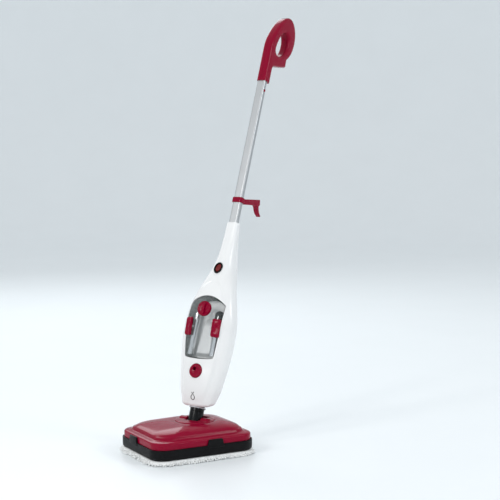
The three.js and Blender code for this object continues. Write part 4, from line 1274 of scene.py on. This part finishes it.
def make_handle():
    whole = slab_between("handle", [handle_outline(), grip_hole()], 28, 7.5, UPPER @ SIDE_ON, 8)
    # Back in the upper frame's own directions, so that cuts are along them
    whole.data.transform(SIDE_ON)
    whole.matrix_world = UPPER
    half_of(whole, (0, 0, HANDLE_BOTTOM), (0, 0, 1))
    carve(whole, pole_room(900, POLE_TOP + 1))
    for word, side in SIDES:
        half = copy_of(whole, f"grip_{word}")
        half_of(half, (side * SEAM, 0, 0), (side, 0, 0))
        if side < 0:
            for y, z in HANDLE_SCREWS:
                well = drill(SCREW_WELL_RADIUS, -20, -8, UPPER @ at(0, y * MM, z * MM) @ SIDEWAYS)
                carve(half, well)
        hold(half, "body", "crimson_plastic", f"handle_{word}")
    bpy.data.objects.remove(whole)


# ---- Nodes that keep their shape -----------------------------------------------------------------


def finish_kept_nodes():
    """Gives every node its record slot's finish; the ones that pieces replace are hidden anyway."""
    slots = {part["node"]: part["material_slot"] for part in frame["record"]["subparts"]}
    for name, node in frame["nodes"].items():
        node.data.materials.clear()
        node.data.materials.append(FINISHES[slots[name]])


# ---- Floor, light and camera ---------------------------------------------------------------------


FLOOR_REACH = 9000
FLOOR_BEND = 2500
FLOOR_WALL = 4200


def make_floor():
    """A pale floor that sweeps up far behind the mop on every side."""
    finish = Finish("pale_floor", (0.89, 0.92, 0.935), 0.35, Specular_IOR_Level=0.3)
    finish.tint(finish.cloud(3.0, 4.0), 1.02, 0.98)
    finish.bump(finish.cloud(60.0, 3.0), 0.03, 0.0005)
    bend = FLOOR_REACH - FLOOR_BEND
    sweep = [(0, 0), (3000, 0), (bend, 0)] + arc(bend, FLOOR_BEND, FLOOR_BEND, -80, 0, 10)
    sweep += [(FLOOR_REACH, FLOOR_WALL), (FLOOR_REACH + 40, FLOOR_WALL), (FLOOR_REACH + 40, -10),
              (0, -10)]
    floor = turned("floor", sweep, HEAD, 96)
    floor.data.materials.append(finish.material)
    shade(floor)


def area_light(name, place, target, size, energy, tone=(1, 1, 1)):
    light = bpy.data.lights.new(name, "AREA")
    light.size = size
    light.energy = energy
    light.color = tone
    holder = set_down(name, light)
    holder.location = place
    holder.rotation_euler = (Vector(target) - Vector(place)).to_track_quat("-Z", "Y").to_euler()
    return holder


PANE_OFFSET = 0.45  # from the window's middle to each of its four panes, in metres


def make_light():
    bpy.context.scene.view_settings.view_transform = "Standard"
    world = bpy.data.worlds.new("studio")
    world.use_nodes = True
    backdrop = world.node_tree.nodes["Background"]
    backdrop.inputs["Color"].default_value = (0.93, 0.97, 1.0, 1)
    backdrop.inputs["Strength"].default_value = 0.78
    bpy.context.scene.world = world
    for across in (-PANE_OFFSET, PANE_OFFSET):
        for up in (-PANE_OFFSET, PANE_OFFSET):
            area_light("window_pane", (0.9 + across, -3.4 + across * 0.3, 2.4 + up), (0, 0, 0.4),
                       0.42, 13, (1, 0.99, 0.97))
    area_light("side_light", (3.0, 2.4, 2.4), (0, 0, 0.5), 1.2, 34, (0.97, 0.985, 1))
    area_light("back_light", (-3.0, 0.6, 2.6), (0, 0, 0.5), 2.2, 40, (0.95, 0.98, 1))


# Angles are in degrees, distances in metres and the lens in millimetres
CAMERA_AZIMUTH = 63.4
CAMERA_DISTANCE = 3.0
CAMERA_HEIGHT = 0.746
CAMERA_PAN = -3.0
CAMERA_PITCH = 4.6
CAMERA_LENS = 87.74
CAMERA_SENSOR = 36


def make_camera():
    azimuth = math.radians(CAMERA_AZIMUTH)
    place = Vector((CAMERA_DISTANCE * math.sin(azimuth), -CAMERA_DISTANCE * math.cos(azimuth),
                    CAMERA_HEIGHT))
    inwards = Vector((-place.x, -place.y, 0)).normalized()
    heading = Matrix.Rotation(math.radians(CAMERA_PAN), 3, "Z") @ inwards
    pitch = math.radians(CAMERA_PITCH)
    aim = heading * math.cos(pitch) - UP * math.sin(pitch)
    lens = bpy.data.cameras.new("camera")
    lens.lens = CAMERA_LENS
    lens.sensor_width = CAMERA_SENSOR
    camera = set_down("camera", lens)
    camera.location = place
    camera.rotation_euler = aim.to_track_quat("-Z", "Y").to_euler()
    bpy.context.scene.camera = camera


# ---- The whole mop -------------------------------------------------------------------------------

make_camera()
finish_kept_nodes()
make_pad()
make_base_frame()
make_head_cover()
make_turret()
make_neck()
make_front_shell()
make_rear_shell()
make_drop_mark()
make_tank()
make_tank_lining()
make_columns()
make_latches()
make_filler_cap()
make_release_button()
make_switch()
make_pole()
make_cord_hook()
make_handle()
make_floor()
make_light()

bpy.context.view_layer.update()
